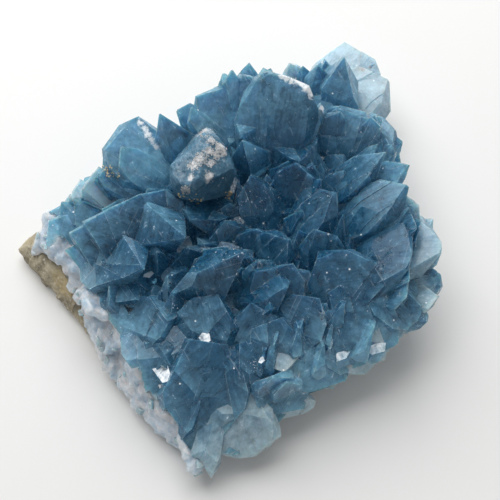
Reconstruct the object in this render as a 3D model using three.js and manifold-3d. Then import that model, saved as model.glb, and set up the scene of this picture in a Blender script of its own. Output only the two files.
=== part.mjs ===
// Celestite crystal cluster on its host rock, in millimetres, +Z up.
// The plan is laid out with +X to the right, +Y to the back and z = 0 at the flat underside of the rock.
// The finished cluster is then turned, so that its long edge runs along X, and centred.

import * as THREE from 'three';
import { ConvexGeometry } from 'three/addons/geometries/ConvexGeometry.js';
import { mergeVertices } from 'three/addons/utils/BufferGeometryUtils.js';
import Module from 'manifold-3d';

const wasm = await Module();
wasm.setup();

// Driving dimensions of the whole specimen
const planTurn = -34; // degrees about Z that lay the long edge along X
const rockGap = 0.3; // parting between the rock and the crystal mass
const seeds = { rock: 3, seam: 5, broken: 9, large: 1, knob: 4, fill: 11, rim: 21 };

// Host rock: its edge seen from above, and how its side leans in
const rockEdge = [
  [-65, -2], [-62, 2], [-50, 8], [-30, 14], [-12, 22], [4, 32], [18, 38], [27, 34], [31, 18],
  [33, 0], [32, -16], [24, -27], [8, -36], [-8, -48], [-19, -50], [-28.5, -44], [-36, -36.5],
  [-45, -25], [-50.5, -18.5], [-57.5, -11.5], [-63, -5]];
const rockStep = 10; // between the corners round its side
const rockRough = 2.4; // how far its corners stray
const rockRings = [[2, 0], [0, 2.5], [1.5, 5.2], [5, 8]]; // inset and height of each ring of corners
const rockLumpCount = 7;
const rockLumpSize = 4.5;
const rockLumpEdges = 5; // last edges of the outline, where the lumps are

// Seam that the crystals grow from: x, y, height of its lower lip, and run of its side seen from above
const seamEdge = [
  [-59, -1, 8, 6], [-58, 4, 8, 4], [-49, 12, 8, 4], [-40, 17, 8, 4], [-28, 24, 8, 4], [-14, 30, 8, 4],
  [0, 36, 8, 4], [12, 44, 7, 4], [20, 54, 6, 6], [27, 62, 6, 8], [34, 56, 6, 7], [40, 45, 6, 6],
  [39, 30, 7, 4], [38, 14, 8, 4], [39, 0, 8, 4], [40, -12, 8, 4], [38, -22, 7, 4], [28, -30, 6, 4],
  [15, -38, 5, 4], [4, -48, 4, 5], [-2, -57, 4, 6], [-11, -61, 3, 6], [-17, -59, 3, 7],
  [-21, -56.5, 3, 7], [-31, -47, 3, 9], [-37.5, -37.5, 3, 9], [-43, -26, 4, 9], [-47, -17, 5, 8],
  [-52, -10, 7, 8], [-56, -7, 8, 7]];
const seamStep = 8; // between the corners round its side
const seamRough = 2.6; // how far its corners stray
const seamTop = 15;
const seamLip = { inset: 2.5, drop: 1 };
const seamLowerRing = { inset: 0.5, rise: 1.5 };
const seamUpperRing = { part: 0.35, rise: 4.5 };
const ledgeRough = 1.5;

// Broken lower left side of the seam: where it starts and ends, along its lip and along its upper edge
const breakLip = [[-57, 4, 10], [-59, -2, 9], [-52, -11, 8], [-47, -17.5, 5], [-42.5, -27, 4],
  [-36.5, -37, 4], [-30, -45.5, 4], [-20, -54.5, 4], [-14, -60, 5]];
const breakBrow = [[-50, 8, 16], [-53, 3, 17], [-48, -3.5, 17], [-43.5, -9.5, 17], [-39, -17, 17],
  [-35.5, -22.5, 17], [-32, -31, 17], [-27, -41, 16], [-18.5, -54, 13]];
const breakLumpRows = 2;
const breakLumpsPerRow = 7;
const breakLumpSize = 5.8;
const breakFloor = 2; // the lumps end above the flat underside

// Outlines of a crystal along its growth: distance from foot to tip as a fraction of the length,
// half width as a fraction of the width, on its lower face, its upper face and its middle plane
const forms = {
  fan: {
    lower: [[0, 0.2], [0.64, 0.47], [0.94, 0.2]],
    upper: [[0, 0.2], [0.62, 0.5], [0.89, 0.42], [1, 0.2]],
    middle: [],
  },
  blade: {
    lower: [[0, 0.28], [0.58, 0.44], [0.9, 0.05]],
    upper: [[0, 0.28], [0.6, 0.5], [1, 0.05]],
    middle: [],
  },
  wedge: { lower: [[0, 0.36], [0.68, 0.5]], upper: [[0, 0.36], [0.62, 0.44]], middle: [[1, 0.28]] },
  chisel: { lower: [[0, 0.4], [0.8, 0.5]], upper: [[0, 0.4], [0.68, 0.5]], middle: [[1, 0.45]] },
  spear: {
    lower: [[0, 0.16], [0.55, 0.24]],
    upper: [[0, 0.16], [0.5, 0.24]],
    middle: [[0, 0.34], [0.58, 0.5], [1, 0.03]],
  },
};
const layerSpin = 7; // degrees between the leaves of a fan
const layerStep = 0.03; // length that each leaf loses to the one below
const layerLap = 1.25; // thickness of a leaf over its share of the fan
const outlineShift = { length: 0.06, width: 0.2 }; // how much the corners of an outline stray

// Crystals seen from a step away: foot and tip in the plan, width and thickness, twist in degrees
const crystals = [
  // Upper left edge
  { form: 'fan', foot: [-20, 10, 14], tip: [-36.8, 15.5, 32], wide: 21, thick: 5, layers: 3 },
  { form: 'spear', foot: [-15, 15, 14], tip: [-23.5, 22, 36], wide: 11, thick: 8, twist: 30 },
  { form: 'wedge', foot: [-12.5, 21, 14], tip: [-16.5, 26, 30], wide: 9, thick: 3 },
  { form: 'wedge', foot: [-10, 22, 14], tip: [-12, 27, 29], wide: 8, thick: 3 },
  { form: 'fan', foot: [-2, 22, 15], tip: [-13.3, 26, 36], wide: 18, thick: 5, twist: -10, layers: 3 },
  { form: 'blade', foot: [0, 27, 14], tip: [5, 37.5, 37], wide: 19, thick: 4, twist: -30 },
  // Top
  { form: 'fan', foot: [16, 18, 15], tip: [7, 30, 40], wide: 20, thick: 6, twist: -10, layers: 2 },
  { form: 'blade', foot: [11, 26, 16], tip: [13, 10, 28], wide: 16, thick: 6 },
  { form: 'blade', foot: [1, 31, 18], tip: [-2, 17, 31], wide: 10, thick: 5 },
  { form: 'spear', foot: [24.5, 36, 12], tip: [26, 44, 31], wide: 13, thick: 9, twist: 40 },
  { form: 'blade', foot: [21, 40, 12], tip: [18.5, 45.5, 27], wide: 10, thick: 4 },
  { form: 'blade', foot: [15, 43, 12], tip: [11, 48, 24], wide: 10, thick: 2.5 },
  { form: 'blade', foot: [30, 40, 8], tip: [27.5, 62, 13], wide: 16, thick: 9 },
  { form: 'wedge', foot: [29, 42, 8], tip: [39.5, 46, 16], wide: 17, thick: 8 },
  // Behind the knob
  { form: 'spear', foot: [3, 17, 15], tip: [-2, 17, 31], wide: 12, thick: 6 },
  // Left
  { form: 'chisel', foot: [-29, -12, 12], tip: [-36, -1, 30], wide: 20, thick: 8 },
  { form: 'fan', foot: [-21, -8, 12], tip: [-27, 4, 28], wide: 18, thick: 5, layers: 2 },
  { form: 'chisel', foot: [-42, 6, 10], tip: [-48, 9, 20], wide: 8, thick: 6 },
  { form: 'chisel', foot: [-37, 6, 10], tip: [-43, 9, 26], wide: 9, thick: 6 },
  { form: 'wedge', foot: [-34, 8, 14], tip: [-39, 11, 28], wide: 9, thick: 5 },
  { form: 'blade', foot: [-44, -7, 10], tip: [-24.5, -20.5, 30], wide: 19, thick: 7, twist: 20 },
  { form: 'spear', foot: [-33, 2, 14], tip: [-16, -12.5, 33], wide: 16, thick: 9, twist: -10 },
  { form: 'spear', foot: [-23.5, -12.5, 14], tip: [-23.5, -13.5, 27], wide: 6, thick: 5 },
  { form: 'blade', foot: [-41, -14, 10], tip: [-31, -28, 26], wide: 15, thick: 5, twist: 15 },
  { form: 'blade', foot: [-36, -30, 9], tip: [-24, -28, 26], wide: 13, thick: 4 },
  // Lower left
  { form: 'fan', foot: [-29, -24, 12], tip: [-19, -27, 28], wide: 13, thick: 4 },
  { form: 'blade', foot: [-30, -40, 9], tip: [-21, -37, 23], wide: 10, thick: 4 },
  { form: 'spear', foot: [-18, -22, 14], tip: [-1, -17.5, 36], wide: 14, thick: 8, twist: 10 },
  { form: 'blade', foot: [-13, -30, 13], tip: [0, -33.5, 31], wide: 16, thick: 5, twist: -15 },
  { form: 'blade', foot: [-20, -29, 13], tip: [-6, -29, 28], wide: 13, thick: 5, twist: 10 },
  { form: 'fan', foot: [-4, -34, 14], tip: [-14.5, -43, 31], wide: 13, thick: 4, layers: 2 },
  { form: 'chisel', foot: [-19, -34, 14], tip: [-20.5, -46, 26], wide: 8, thick: 5, twist: -25 },
  { form: 'blade', foot: [-9, -36, 13], tip: [-15, -59, 15], wide: 20, thick: 6, twist: -8 },
  { form: 'blade', foot: [-5, -36, 12], tip: [-9, -58, 14], wide: 16, thick: 6, twist: 12 },
  { form: 'blade', foot: [-9.5, -48, 11], tip: [-14, -64.5, 4.5], wide: 12, thick: 6 },
  { form: 'fan', foot: [-4, -45, 11], tip: [-0.5, -60, 8], wide: 14, thick: 5, layers: 2 },
  // Lower right edge
  { form: 'blade', foot: [0, -38, 13], tip: [14, -50, 13], wide: 16, thick: 7 },
  { form: 'wedge', foot: [11, -34, 13], tip: [6.5, -42, 22], wide: 8, thick: 5 },
  { form: 'blade', foot: [8, -28, 13], tip: [14.5, -39, 21], wide: 13, thick: 5, twist: -15 },
  { form: 'blade', foot: [-1, -32, 13], tip: [3, -42, 22], wide: 12, thick: 5, twist: 10 },
  { form: 'fan', foot: [12.5, -32, 14], tip: [18.5, -45, 13], wide: 17, thick: 6, layers: 2 },
  { form: 'blade', foot: [16, -22, 13], tip: [21, -34, 24], wide: 13, thick: 5, twist: 12 },
  { form: 'wedge', foot: [21.5, -30, 14], tip: [25.5, -41, 17], wide: 12, thick: 6 },
  { form: 'wedge', foot: [31, -31, 14], tip: [31.5, -38, 20], wide: 7, thick: 5 },
  { form: 'fan', foot: [28, -19, 15], tip: [42, -28, 21], wide: 14, thick: 4 },
  { form: 'fan', foot: [24, -22, 15], tip: [32.5, -36, 22], wide: 16, thick: 6, layers: 2 },
  { form: 'wedge', foot: [40, -20, 12], tip: [46.5, -25, 21], wide: 8, thick: 4 },
  // Right edge
  { form: 'fan', foot: [29, -14, 14], tip: [47.3, -16.5, 28], wide: 26, thick: 6, layers: 3 },
  { form: 'wedge', foot: [37, -5, 15], tip: [42, 0, 30], wide: 9, thick: 3 },
  { form: 'blade', foot: [26, -3, 15], tip: [41.5, 3, 33], wide: 15, thick: 5, twist: -15 },
  { form: 'blade', foot: [29, 9, 14], tip: [42, 10, 31], wide: 11, thick: 3 },
  { form: 'blade', foot: [21, 6, 14], tip: [36, 14, 31], wide: 13, thick: 4, twist: -20 },
  { form: 'fan', foot: [25, 20, 14], tip: [27.5, 28.5, 30], wide: 16, thick: 5, layers: 2 },
  { form: 'fan', foot: [30, 18, 14], tip: [37.5, 23.5, 27], wide: 14, thick: 4, layers: 2 },
  { form: 'fan', foot: [19, -6, 16], tip: [31, -27, 29.5], wide: 20, thick: 4.5, layers: 2 },
  { form: 'blade', foot: [22, -8, 18], tip: [36, -18, 31], wide: 15, thick: 5, twist: 20 },
  // Centre
  { form: 'blade', foot: [18, -32, 14], tip: [13.5, -29, 31], wide: 13, thick: 4 },
  { form: 'blade', foot: [-9, 6, 12], tip: [-16, -5, 27], wide: 14, thick: 5 },
  { form: 'blade', foot: [11.5, 5, 13], tip: [13, 11, 31], wide: 15, thick: 4 },
  { form: 'blade', foot: [4, -2, 12], tip: [0, 10, 28], wide: 13, thick: 4 },
  { form: 'blade', foot: [3, -11, 12], tip: [10, -9.5, 27], wide: 14, thick: 4, twist: 25 },
  { form: 'blade', foot: [0, -20, 12], tip: [9, -24, 28], wide: 15, thick: 5 },
  { form: 'blade', foot: [12, -4, 14], tip: [22, 2.5, 31], wide: 16, thick: 5, twist: -20 },
  { form: 'blade', foot: [20, -14, 13], tip: [16, -7, 29], wide: 13, thick: 4 },
];

// Knob: a rounded group standing above its neighbours
const knobStem = { form: 'wedge', foot: [-11, 14, 12], tip: [-12, 9, 30], wide: 12, thick: 9 };
const knobLumps = [
  { centre: [-12, 9.5, 30], radii: [9.2, 10.6, 9.8], corners: 24 },
  { centre: [-16, 5.5, 28], radii: [5.5, 5, 6], corners: 9 },
  { centre: [-9, 3.5, 27], radii: [6, 5, 6], corners: 9 },
];

// Crystals that stick out along the edge of the seam, except on its broken side
const rimFirstEdge = 2;
const rimLastEdge = 20;
const rimSpacing = 16;
const rimDepth = 5; // from the edge in to a crystal's foot
const rimLift = 2; // of a crystal's foot over the lip
const rimThick = 5;
const rimForms = ['blade', 'wedge', 'spear'];

// Low crystals that fill the bowl between the large ones
const fillSpacing = 9.6;
const fillMargin = 5; // from the edge of the seam
const fillRows = 8; // on each side of the middle
const rowPitch = 0.87; // row distance over fillSpacing in a triangular grid
const fillHub = [2, -5];
const fillReach = 62; // distance from the hub at which a crystal leans by fillLean
const fillLean = 60; // degrees from upright
const fillFoot = 12;
const fillThick = 4;
const fillLength = { least: 13, spread: 6 };
const fillWide = { least: 10, spread: 5 };
const fillClear = 3.5; // least distance of a tip from the large crystals' middle lines
const fillForms = ['blade', 'blade', 'spear', 'wedge'];

// Repeatable random numbers from 0 to 1
function makeRandom(seed) {
  let state = seed;
  return () => {
    state = (state * 1664525 + 1013904223) % 4294967296;
    return state / 4294967296;
  };
}

function toSolid(geometry) {
  geometry.deleteAttribute('normal');
  geometry.deleteAttribute('uv');
  const merged = mergeVertices(geometry);
  const vertProperties = new Float32Array(merged.attributes.position.array);
  const triVerts = new Uint32Array(merged.index.array);
  return new wasm.Manifold(new wasm.Mesh({ numProp: 3, vertProperties, triVerts }));
}

// The triangles of the largest connected shell; the shell of a pocket closed in between crystals is left out
function outerShell(triVerts, cornerCount) {
  const parent = Array.from({ length: cornerCount }, (_, i) => i);
  const rootOf = (corner) => {
    let root = corner;
    while (parent[root] !== root) root = parent[root];
    parent[corner] = root;
    return root;
  };
  for (let i = 0; i < triVerts.length; i += 3) {
    parent[rootOf(triVerts[i + 1])] = rootOf(triVerts[i]);
    parent[rootOf(triVerts[i + 2])] = rootOf(triVerts[i]);
  }
  const shells = new Map();
  for (let i = 0; i < triVerts.length; i += 3) {
    const root = rootOf(triVerts[i]);
    if (!shells.has(root)) shells.set(root, []);
    shells.get(root).push(triVerts[i], triVerts[i + 1], triVerts[i + 2]);
  }
  return [...shells.values()].sort((a, b) => b.length - a.length)[0];
}

function toMesh(solid, name, material) {
  const { vertProperties, triVerts } = solid.getMesh();
  const geometry = new THREE.BufferGeometry();
  geometry.setAttribute('position', new THREE.BufferAttribute(vertProperties, 3));
  geometry.setIndex(outerShell(triVerts, vertProperties.length / 3));
  const faceted = geometry.toNonIndexed();
  faceted.computeVertexNormals();
  const mesh = new THREE.Mesh(faceted, material);
  mesh.name = name;
  return mesh;
}

function join(solids) {
  return solids.reduce((whole, solid) => whole.add(solid));
}

// Points of a ring moved towards its middle by inset
function insetPoint(x, y, inset, z) {
  const distance = Math.hypot(x, y);
  const keep = (distance - inset) / distance;
  return new THREE.Vector3(x * keep, y * keep, z);
}

// Rows at about equal steps round a closed outline, each value blended between the outline's own rows
function walkRound(outline, step) {
  const rows = [];
  outline.forEach((start, i) => {
    const end = outline[(i + 1) % outline.length];
    const count = Math.max(1, Math.round(Math.hypot(end[0] - start[0], end[1] - start[1]) / step));
    for (let k = 0; k < count; k += 1) {
      rows.push(start.map((value, j) => value + (end[j] - value) * k / count));
    }
  });
  return rows;
}

// A closed solid through clockwise rings of points, lowest ring first
function loft(rings) {
  const count = rings[0].length;
  const middleOf = (ring) => {
    const sum = new THREE.Vector3();
    ring.forEach((point) => sum.add(point));
    return sum.divideScalar(count);
  };
  const points = [...rings.flat(), middleOf(rings[0]), middleOf(rings[rings.length - 1])];
  const bottom = points.length - 2;
  const top = points.length - 1;
  const lastRing = (rings.length - 1) * count;
  const faces = [];
  for (let i = 0; i < count; i += 1) {
    const next = (i + 1) % count;
    faces.push(bottom, i, next);
    for (let low = 0; low < lastRing; low += count) {
      const high = low + count;
      faces.push(low + next, low + i, high + i);
      faces.push(low + next, high + i, high + next);
    }
    faces.push(top, lastRing + next, lastRing + i);
  }
  const geometry = new THREE.BufferGeometry().setFromPoints(points);
  geometry.setIndex(faces);
  return toSolid(geometry);
}

// An irregular faceted pebble, its corners spread evenly over an ellipsoid and then shifted
function lump(centre, radii, random, { grow = 0, corners = 10 } = {}) {
  const points = [];
  const goldenTurn = Math.PI * (3 - Math.sqrt(5));
  for (let i = 0; i < corners; i += 1) {
    const rise = 1 - 2 * (i + 0.5) / corners;
    const angle = goldenTurn * i + 0.9 * random();
    const flat = Math.sqrt(1 - rise * rise);
    const scale = 0.85 + 0.3 * random();
    points.push(new THREE.Vector3(
      centre[0] + flat * Math.cos(angle) * (radii[0] * scale + grow),
      centre[1] + flat * Math.sin(angle) * (radii[1] * scale + grow),
      centre[2] + rise * (radii[2] * scale + grow)));
  }
  return toSolid(new ConvexGeometry(points));
}

// One leaf of a crystal: the outlines of its form on three parallel planes
function leaf(form, foot, along, across, out, length, wide, thick, random) {
  const points = [];
  const addOutline = (outline, height) => {
    for (const [reach, half] of outline) {
      for (const side of [-1, 1]) {
        const distance = length * reach * (1 + outlineShift.length * (random() - 0.5));
        const offset = side * wide * half * (1 + outlineShift.width * (random() - 0.5));
        points.push(foot.clone()
          .addScaledVector(along, distance)
          .addScaledVector(across, offset)
          .addScaledVector(out, height));
      }
    }
  };
  addOutline(form.lower, -thick / 2);
  addOutline(form.upper, thick / 2);
  addOutline(form.middle, 0);
  return toSolid(new ConvexGeometry(points));
}

// A crystal from foot to tip; a fan is a stack of leaves turned against each other
function crystal({ form, foot, tip, wide, thick, twist = 0, layers = 1 }, random) {
  const start = new THREE.Vector3(...foot);
  const growth = new THREE.Vector3(...tip).sub(start);
  const length = growth.length();
  growth.normalize();
  const across = new THREE.Vector3().crossVectors(growth, new THREE.Vector3(0, 0, 1)).normalize();
  across.applyAxisAngle(growth, THREE.MathUtils.degToRad(twist));
  const out = new THREE.Vector3().crossVectors(across, growth);
  const leaves = [];
  for (let i = 0; i < layers; i += 1) {
    const step = i - (layers - 1) / 2;
    const spin = THREE.MathUtils.degToRad(step * layerSpin);
    const leafFoot = start.clone().addScaledVector(out, step * thick / layers);
    const leafAlong = growth.clone().applyAxisAngle(out, spin);
    const leafAcross = across.clone().applyAxisAngle(out, spin);
    const leafLength = length * (1 - layerStep * i);
    const leafThick = layers > 1 ? layerLap * thick / layers : thick;
    leaves.push(leaf(forms[form], leafFoot, leafAlong, leafAcross, out, leafLength, wide, leafThick, random));
  }
  return join(leaves);
}

// Everything under a height, to cut an underside flat
function spaceBelow(height) {
  const depth = 60;
  const span = 300;
  return toSolid(new THREE.BoxGeometry(span, span, depth).translate(0, 0, height - depth / 2));
}

function hostRock(grow) {
  const random = makeRandom(seeds.rock);
  const jitter = () => rockRough * (random() - 0.5);
  const rows = walkRound(rockEdge, rockStep);
  const rings = rockRings.map(([inset, height]) => rows.map(([x, y]) => {
    const rise = height > 0 ? height + grow + jitter() / 3 : -grow;
    return insetPoint(x, y, inset + jitter() - grow, rise);
  }));
  const lumps = [];
  for (let i = 0; i < rockLumpCount; i += 1) {
    const along = (rockEdge.length - rockLumpEdges * (1 - i / (rockLumpCount - 1))) % rockEdge.length;
    const [x0, y0] = rockEdge[Math.floor(along)];
    const [x1, y1] = rockEdge[(Math.floor(along) + 1) % rockEdge.length];
    const part = along % 1;
    const size = rockLumpSize * (0.7 + 0.5 * random());
    const spot = insetPoint(x0 + (x1 - x0) * part, y0 + (y1 - y0) * part, size, 1 + 3 * random());
    lumps.push(lump([spot.x, spot.y, spot.z], [size, size, size], random, { grow }));
  }
  return join([loft(rings), ...lumps]).subtract(spaceBelow(0));
}

function seam() {
  const random = makeRandom(seeds.seam);
  const rows = walkRound(seamEdge, seamStep);
  const jitter = (amount) => amount * (random() - 0.5);
  const ring = (insetOf, heightOf) => rows.map(([x, y, lip, run]) => (
    insetPoint(x, y, insetOf(run) + jitter(seamRough), heightOf(lip))));
  return loft([
    ring(() => seamLip.inset, (lip) => lip - seamLip.drop),
    ring(() => seamLowerRing.inset, (lip) => lip + seamLowerRing.rise + jitter(ledgeRough)),
    ring((run) => seamUpperRing.part * run, (lip) => lip + seamUpperRing.rise + jitter(ledgeRough)),
    ring((run) => run, () => seamTop),
  ]);
}

function brokenSide() {
  const random = makeRandom(seeds.broken);
  const pick = (line, part) => {
    const along = part * (line.length - 1);
    const start = Math.min(Math.floor(along), line.length - 2);
    return new THREE.Vector3(...line[start]).lerp(new THREE.Vector3(...line[start + 1]), along - start);
  };
  const lumps = [];
  for (let row = 0; row < breakLumpRows; row += 1) {
    for (let i = 0; i < breakLumpsPerRow; i += 1) {
      const part = (i + 0.5 * (row % 2) + 0.4 * random()) / breakLumpsPerRow;
      const spot = pick(breakLip, part).lerp(pick(breakBrow, part), (row + 0.3) / breakLumpRows);
      const size = breakLumpSize * (0.6 + 0.5 * random());
      lumps.push(lump([spot.x + size / 4, spot.y + size / 4, spot.z - size / 2], [size, size, size], random));
    }
  }
  return join(lumps).subtract(spaceBelow(breakFloor));
}

// True where x, y lies at least margin inside the seam's edge
function insideSeam(x, y, margin) {
  return seamEdge.every(([x0, y0], i) => {
    const [x1, y1] = seamEdge[(i + 1) % seamEdge.length];
    const length = Math.hypot(x1 - x0, y1 - y0);
    return ((x - x0) * (y1 - y0) - (y - y0) * (x1 - x0)) / length > margin;
  });
}

// True where a point keeps its distance from the middle line of every large crystal
function clearOfLarge(point) {
  const nearest = new THREE.Vector3();
  return crystals.every(({ foot, tip }) => {
    const line = new THREE.Line3(new THREE.Vector3(...foot), new THREE.Vector3(...tip));
    line.closestPointToPoint(point, true, nearest);
    return nearest.distanceTo(point) > fillClear;
  });
}

function fillers() {
  const random = makeRandom(seeds.fill);
  const found = [];
  for (let row = -fillRows; row <= fillRows; row += 1) {
    for (let column = -fillRows; column <= fillRows; column += 1) {
      const x = fillSpacing * (column + 0.5 * (row % 2) + 0.5 * (random() - 0.5));
      const y = fillSpacing * rowPitch * (row + 0.5 * (random() - 0.5));
      const turn = random() - 0.5;
      const size = random();
      const form = fillForms[Math.floor(random() * fillForms.length)];
      if (!insideSeam(x, y, fillMargin)) continue;
      const away = Math.hypot(x - fillHub[0], y - fillHub[1]);
      const azimuth = Math.atan2(y - fillHub[1], x - fillHub[0]) + turn;
      const lean = THREE.MathUtils.degToRad(fillLean * away / fillReach + 12 * turn);
      const length = fillLength.least + fillLength.spread * size;
      const tip = [
        x + length * Math.sin(lean) * Math.cos(azimuth),
        y + length * Math.sin(lean) * Math.sin(azimuth),
        fillFoot + length * Math.cos(lean)];
      const wide = fillWide.least + fillWide.spread * random();
      if (!clearOfLarge(new THREE.Vector3(...tip))) continue;
      const filler = { form, foot: [x, y, fillFoot], tip, wide, thick: fillThick, twist: 50 * turn };
      found.push(crystal(filler, random));
    }
  }
  return found;
}

function rimCrystals() {
  const random = makeRandom(seeds.rim);
  const found = [];
  for (let i = rimFirstEdge; i <= rimLastEdge; i += 1) {
    const [x0, y0, lip] = seamEdge[i];
    const [x1, y1] = seamEdge[i + 1];
    const length = Math.hypot(x1 - x0, y1 - y0);
    const outX = -(y1 - y0) / length;
    const outY = (x1 - x0) / length;
    const count = Math.max(1, Math.round(length / rimSpacing));
    for (let k = 0; k < count; k += 1) {
      const part = (k + 0.5) / count;
      const foot = [
        x0 + (x1 - x0) * part - outX * rimDepth,
        y0 + (y1 - y0) * part - outY * rimDepth,
        lip + rimLift];
      const reach = rimDepth + 1.5 + 2.5 * random();
      const slide = 5 * (random() - 0.5);
      const tip = [
        foot[0] + outX * reach - outY * slide,
        foot[1] + outY * reach + outX * slide,
        foot[2] + 2 + 5 * random()];
      const form = rimForms[Math.floor(random() * rimForms.length)];
      const wide = 7 + 4 * random();
      found.push(crystal({ form, foot, tip, wide, thick: rimThick, twist: 60 * (random() - 0.5) }, random));
    }
  }
  return found;
}

function knob() {
  const random = makeRandom(seeds.knob);
  const lumps = knobLumps.map((row) => lump(row.centre, row.radii, random, row));
  return join([crystal(knobStem, random), ...lumps]);
}

function crystalMass() {
  const random = makeRandom(seeds.large);
  const large = crystals.map((row) => crystal(row, random));
  const whole = join([seam(), ...large, knob(), ...fillers(), ...rimCrystals(), brokenSide()]);
  return whole.subtract(hostRock(rockGap));
}

const celestite = new THREE.MeshStandardMaterial({ color: 0x5a8aa6, roughness: 0.2, metalness: 0 });
const rock = new THREE.MeshStandardMaterial({ color: 0x9a8c6c, roughness: 0.9, metalness: 0 });

const turned = new THREE.Group();
turned.rotation.z = THREE.MathUtils.degToRad(planTurn);
turned.add(toMesh(crystalMass(), 'celestite_crystals', celestite));
turned.add(toMesh(hostRock(0), 'host_rock', rock));

// Origin at the middle of the box's underside
const cluster = new THREE.Group();
cluster.add(turned);
cluster.updateMatrixWorld(true);
const box = new THREE.Box3().setFromObject(cluster, true);
turned.position.set(-(box.min.x + box.max.x) / 2, -(box.min.y + box.max.y) / 2, -box.min.z);

export default cluster;
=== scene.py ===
import bpy
import math
import random
from mathutils import Matrix, Vector, noise
from mathutils.bvhtree import BVHTree


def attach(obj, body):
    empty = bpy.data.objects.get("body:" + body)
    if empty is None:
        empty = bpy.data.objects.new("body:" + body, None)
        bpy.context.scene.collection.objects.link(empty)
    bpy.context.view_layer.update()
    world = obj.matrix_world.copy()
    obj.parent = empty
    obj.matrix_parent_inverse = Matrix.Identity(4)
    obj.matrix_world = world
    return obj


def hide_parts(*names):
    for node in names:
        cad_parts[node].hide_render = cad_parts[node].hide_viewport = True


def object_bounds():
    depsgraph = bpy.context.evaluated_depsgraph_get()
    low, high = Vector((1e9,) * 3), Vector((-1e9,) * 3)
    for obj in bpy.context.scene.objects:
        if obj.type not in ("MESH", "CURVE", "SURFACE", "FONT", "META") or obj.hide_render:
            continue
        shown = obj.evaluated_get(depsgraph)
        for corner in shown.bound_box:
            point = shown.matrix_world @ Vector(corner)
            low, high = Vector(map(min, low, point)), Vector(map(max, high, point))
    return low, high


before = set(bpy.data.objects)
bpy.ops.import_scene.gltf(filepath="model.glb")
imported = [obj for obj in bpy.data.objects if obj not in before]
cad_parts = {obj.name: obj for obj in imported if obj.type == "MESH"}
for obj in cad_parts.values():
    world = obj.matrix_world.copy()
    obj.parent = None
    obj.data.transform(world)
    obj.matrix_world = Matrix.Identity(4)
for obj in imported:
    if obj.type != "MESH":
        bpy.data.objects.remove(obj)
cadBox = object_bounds()
scene = bpy.context.scene
mm = 0.001

# The photo's own directions: x to the right, y away from the camera, turned against the row's frame
photoPlan = {"turn": math.radians(-34), "originX": -3.9 * mm, "originY": 5.5 * mm}
seeds = {"bed": 8, "leaves": 3, "large": 21, "pale": 22, "fill": 11, "facets": 7, "knob": 4, "crumbs": 5}


def fromPlan(x, y, z=0.0):
    # photo plan in mm to the row's frame in metres
    c, s = math.cos(photoPlan["turn"]), math.sin(photoPlan["turn"])
    return Vector((
        (x * c - y * s) * mm + photoPlan["originX"],
        (x * s + y * c) * mm + photoPlan["originY"],
        z * mm))


def toPlan(point):
    c, s = math.cos(photoPlan["turn"]), math.sin(photoPlan["turn"])
    x, y = (point.x - photoPlan["originX"]) / mm, (point.y - photoPlan["originY"]) / mm
    return x * c + y * s, -x * s + y * c, point.z / mm


def planWay(x, y, z):
    # a direction of the photo plan
    return (fromPlan(x, y, z) - fromPlan(0, 0)).normalized()


# Selecting, editing and applying

def selectOnly(*pieces):
    if bpy.context.object and bpy.context.object.mode != "OBJECT":
        bpy.ops.object.mode_set(mode="OBJECT")
    bpy.ops.object.select_all(action="DESELECT")
    for piece in pieces:
        piece.select_set(True)
    bpy.context.view_layer.objects.active = pieces[-1]


def editMode(piece, pick="SELECT"):
    selectOnly(piece)
    bpy.ops.object.mode_set(mode="EDIT")
    bpy.ops.mesh.select_all(action=pick)


def objectMode():
    bpy.ops.object.mode_set(mode="OBJECT")


def applyModifier(piece, kind, **settings):
    modifier = piece.modifiers.new(kind.title(), kind)
    for name, value in settings.items():
        setattr(modifier, name, value)
    selectOnly(piece)
    bpy.ops.object.modifier_apply(modifier=modifier.name)


def joinPieces(pieces):
    selectOnly(*pieces)
    bpy.ops.object.join()
    return bpy.context.object


def settle(piece, name):
    # place, turn and size go into the mesh
    selectOnly(piece)
    bpy.ops.object.transform_apply(location=True, rotation=True, scale=True)
    piece.name = name
    piece.data.name = name
    return piece


def newShape(name, add, **values):
    # a primitive to model from
    bpy.ops.object.select_all(action="DESELECT")
    add(**values)
    return settle(bpy.context.object, name)


def remove(*pieces):
    for piece in pieces:
        bpy.data.objects.remove(piece, do_unlink=True)


def mergedCopy(nodeName, name):
    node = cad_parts[nodeName]
    piece = bpy.data.objects.new(name, node.data.copy())
    scene.collection.objects.link(piece)
    piece.data.materials.clear()
    editMode(piece)
    bpy.ops.mesh.remove_doubles(threshold=0.001 * mm)
    objectMode()
    return piece


def cutPiece(piece, cuts):
    # each cut takes off what lies on its outer side
    editMode(piece)
    for place, outward in cuts:
        bpy.ops.mesh.select_all(action="SELECT")
        bpy.ops.mesh.bisect(plane_co=place, plane_no=outward, use_fill=True, clear_outer=True)
    objectMode()
    return piece


def solidWith(piece, other, operation):
    applyModifier(piece, "BOOLEAN", operation=operation, solver="MANIFOLD", object=other)


def remesh(piece, voxel):
    applyModifier(piece, "REMESH", mode="VOXEL", voxel_size=voxel * mm)


def displace(piece, size, height, kind="CLOUDS"):
    texture = bpy.data.textures.new("grit", kind)
    texture.noise_scale = size * mm
    applyModifier(
        piece, "DISPLACE", texture=texture, texture_coords="LOCAL", strength=height * mm, mid_level=0.5)


def selectParts(piece, kind, wanted):
    # called in object mode, and leaves the piece in edit mode with only the wanted parts selected
    editMode(piece, "DESELECT")
    bpy.ops.mesh.select_mode(type=kind)
    objectMode()
    for part in piece.data.polygons if kind == "FACE" else piece.data.vertices:
        part.select = wanted(part)
    bpy.ops.object.mode_set(mode="EDIT")


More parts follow.
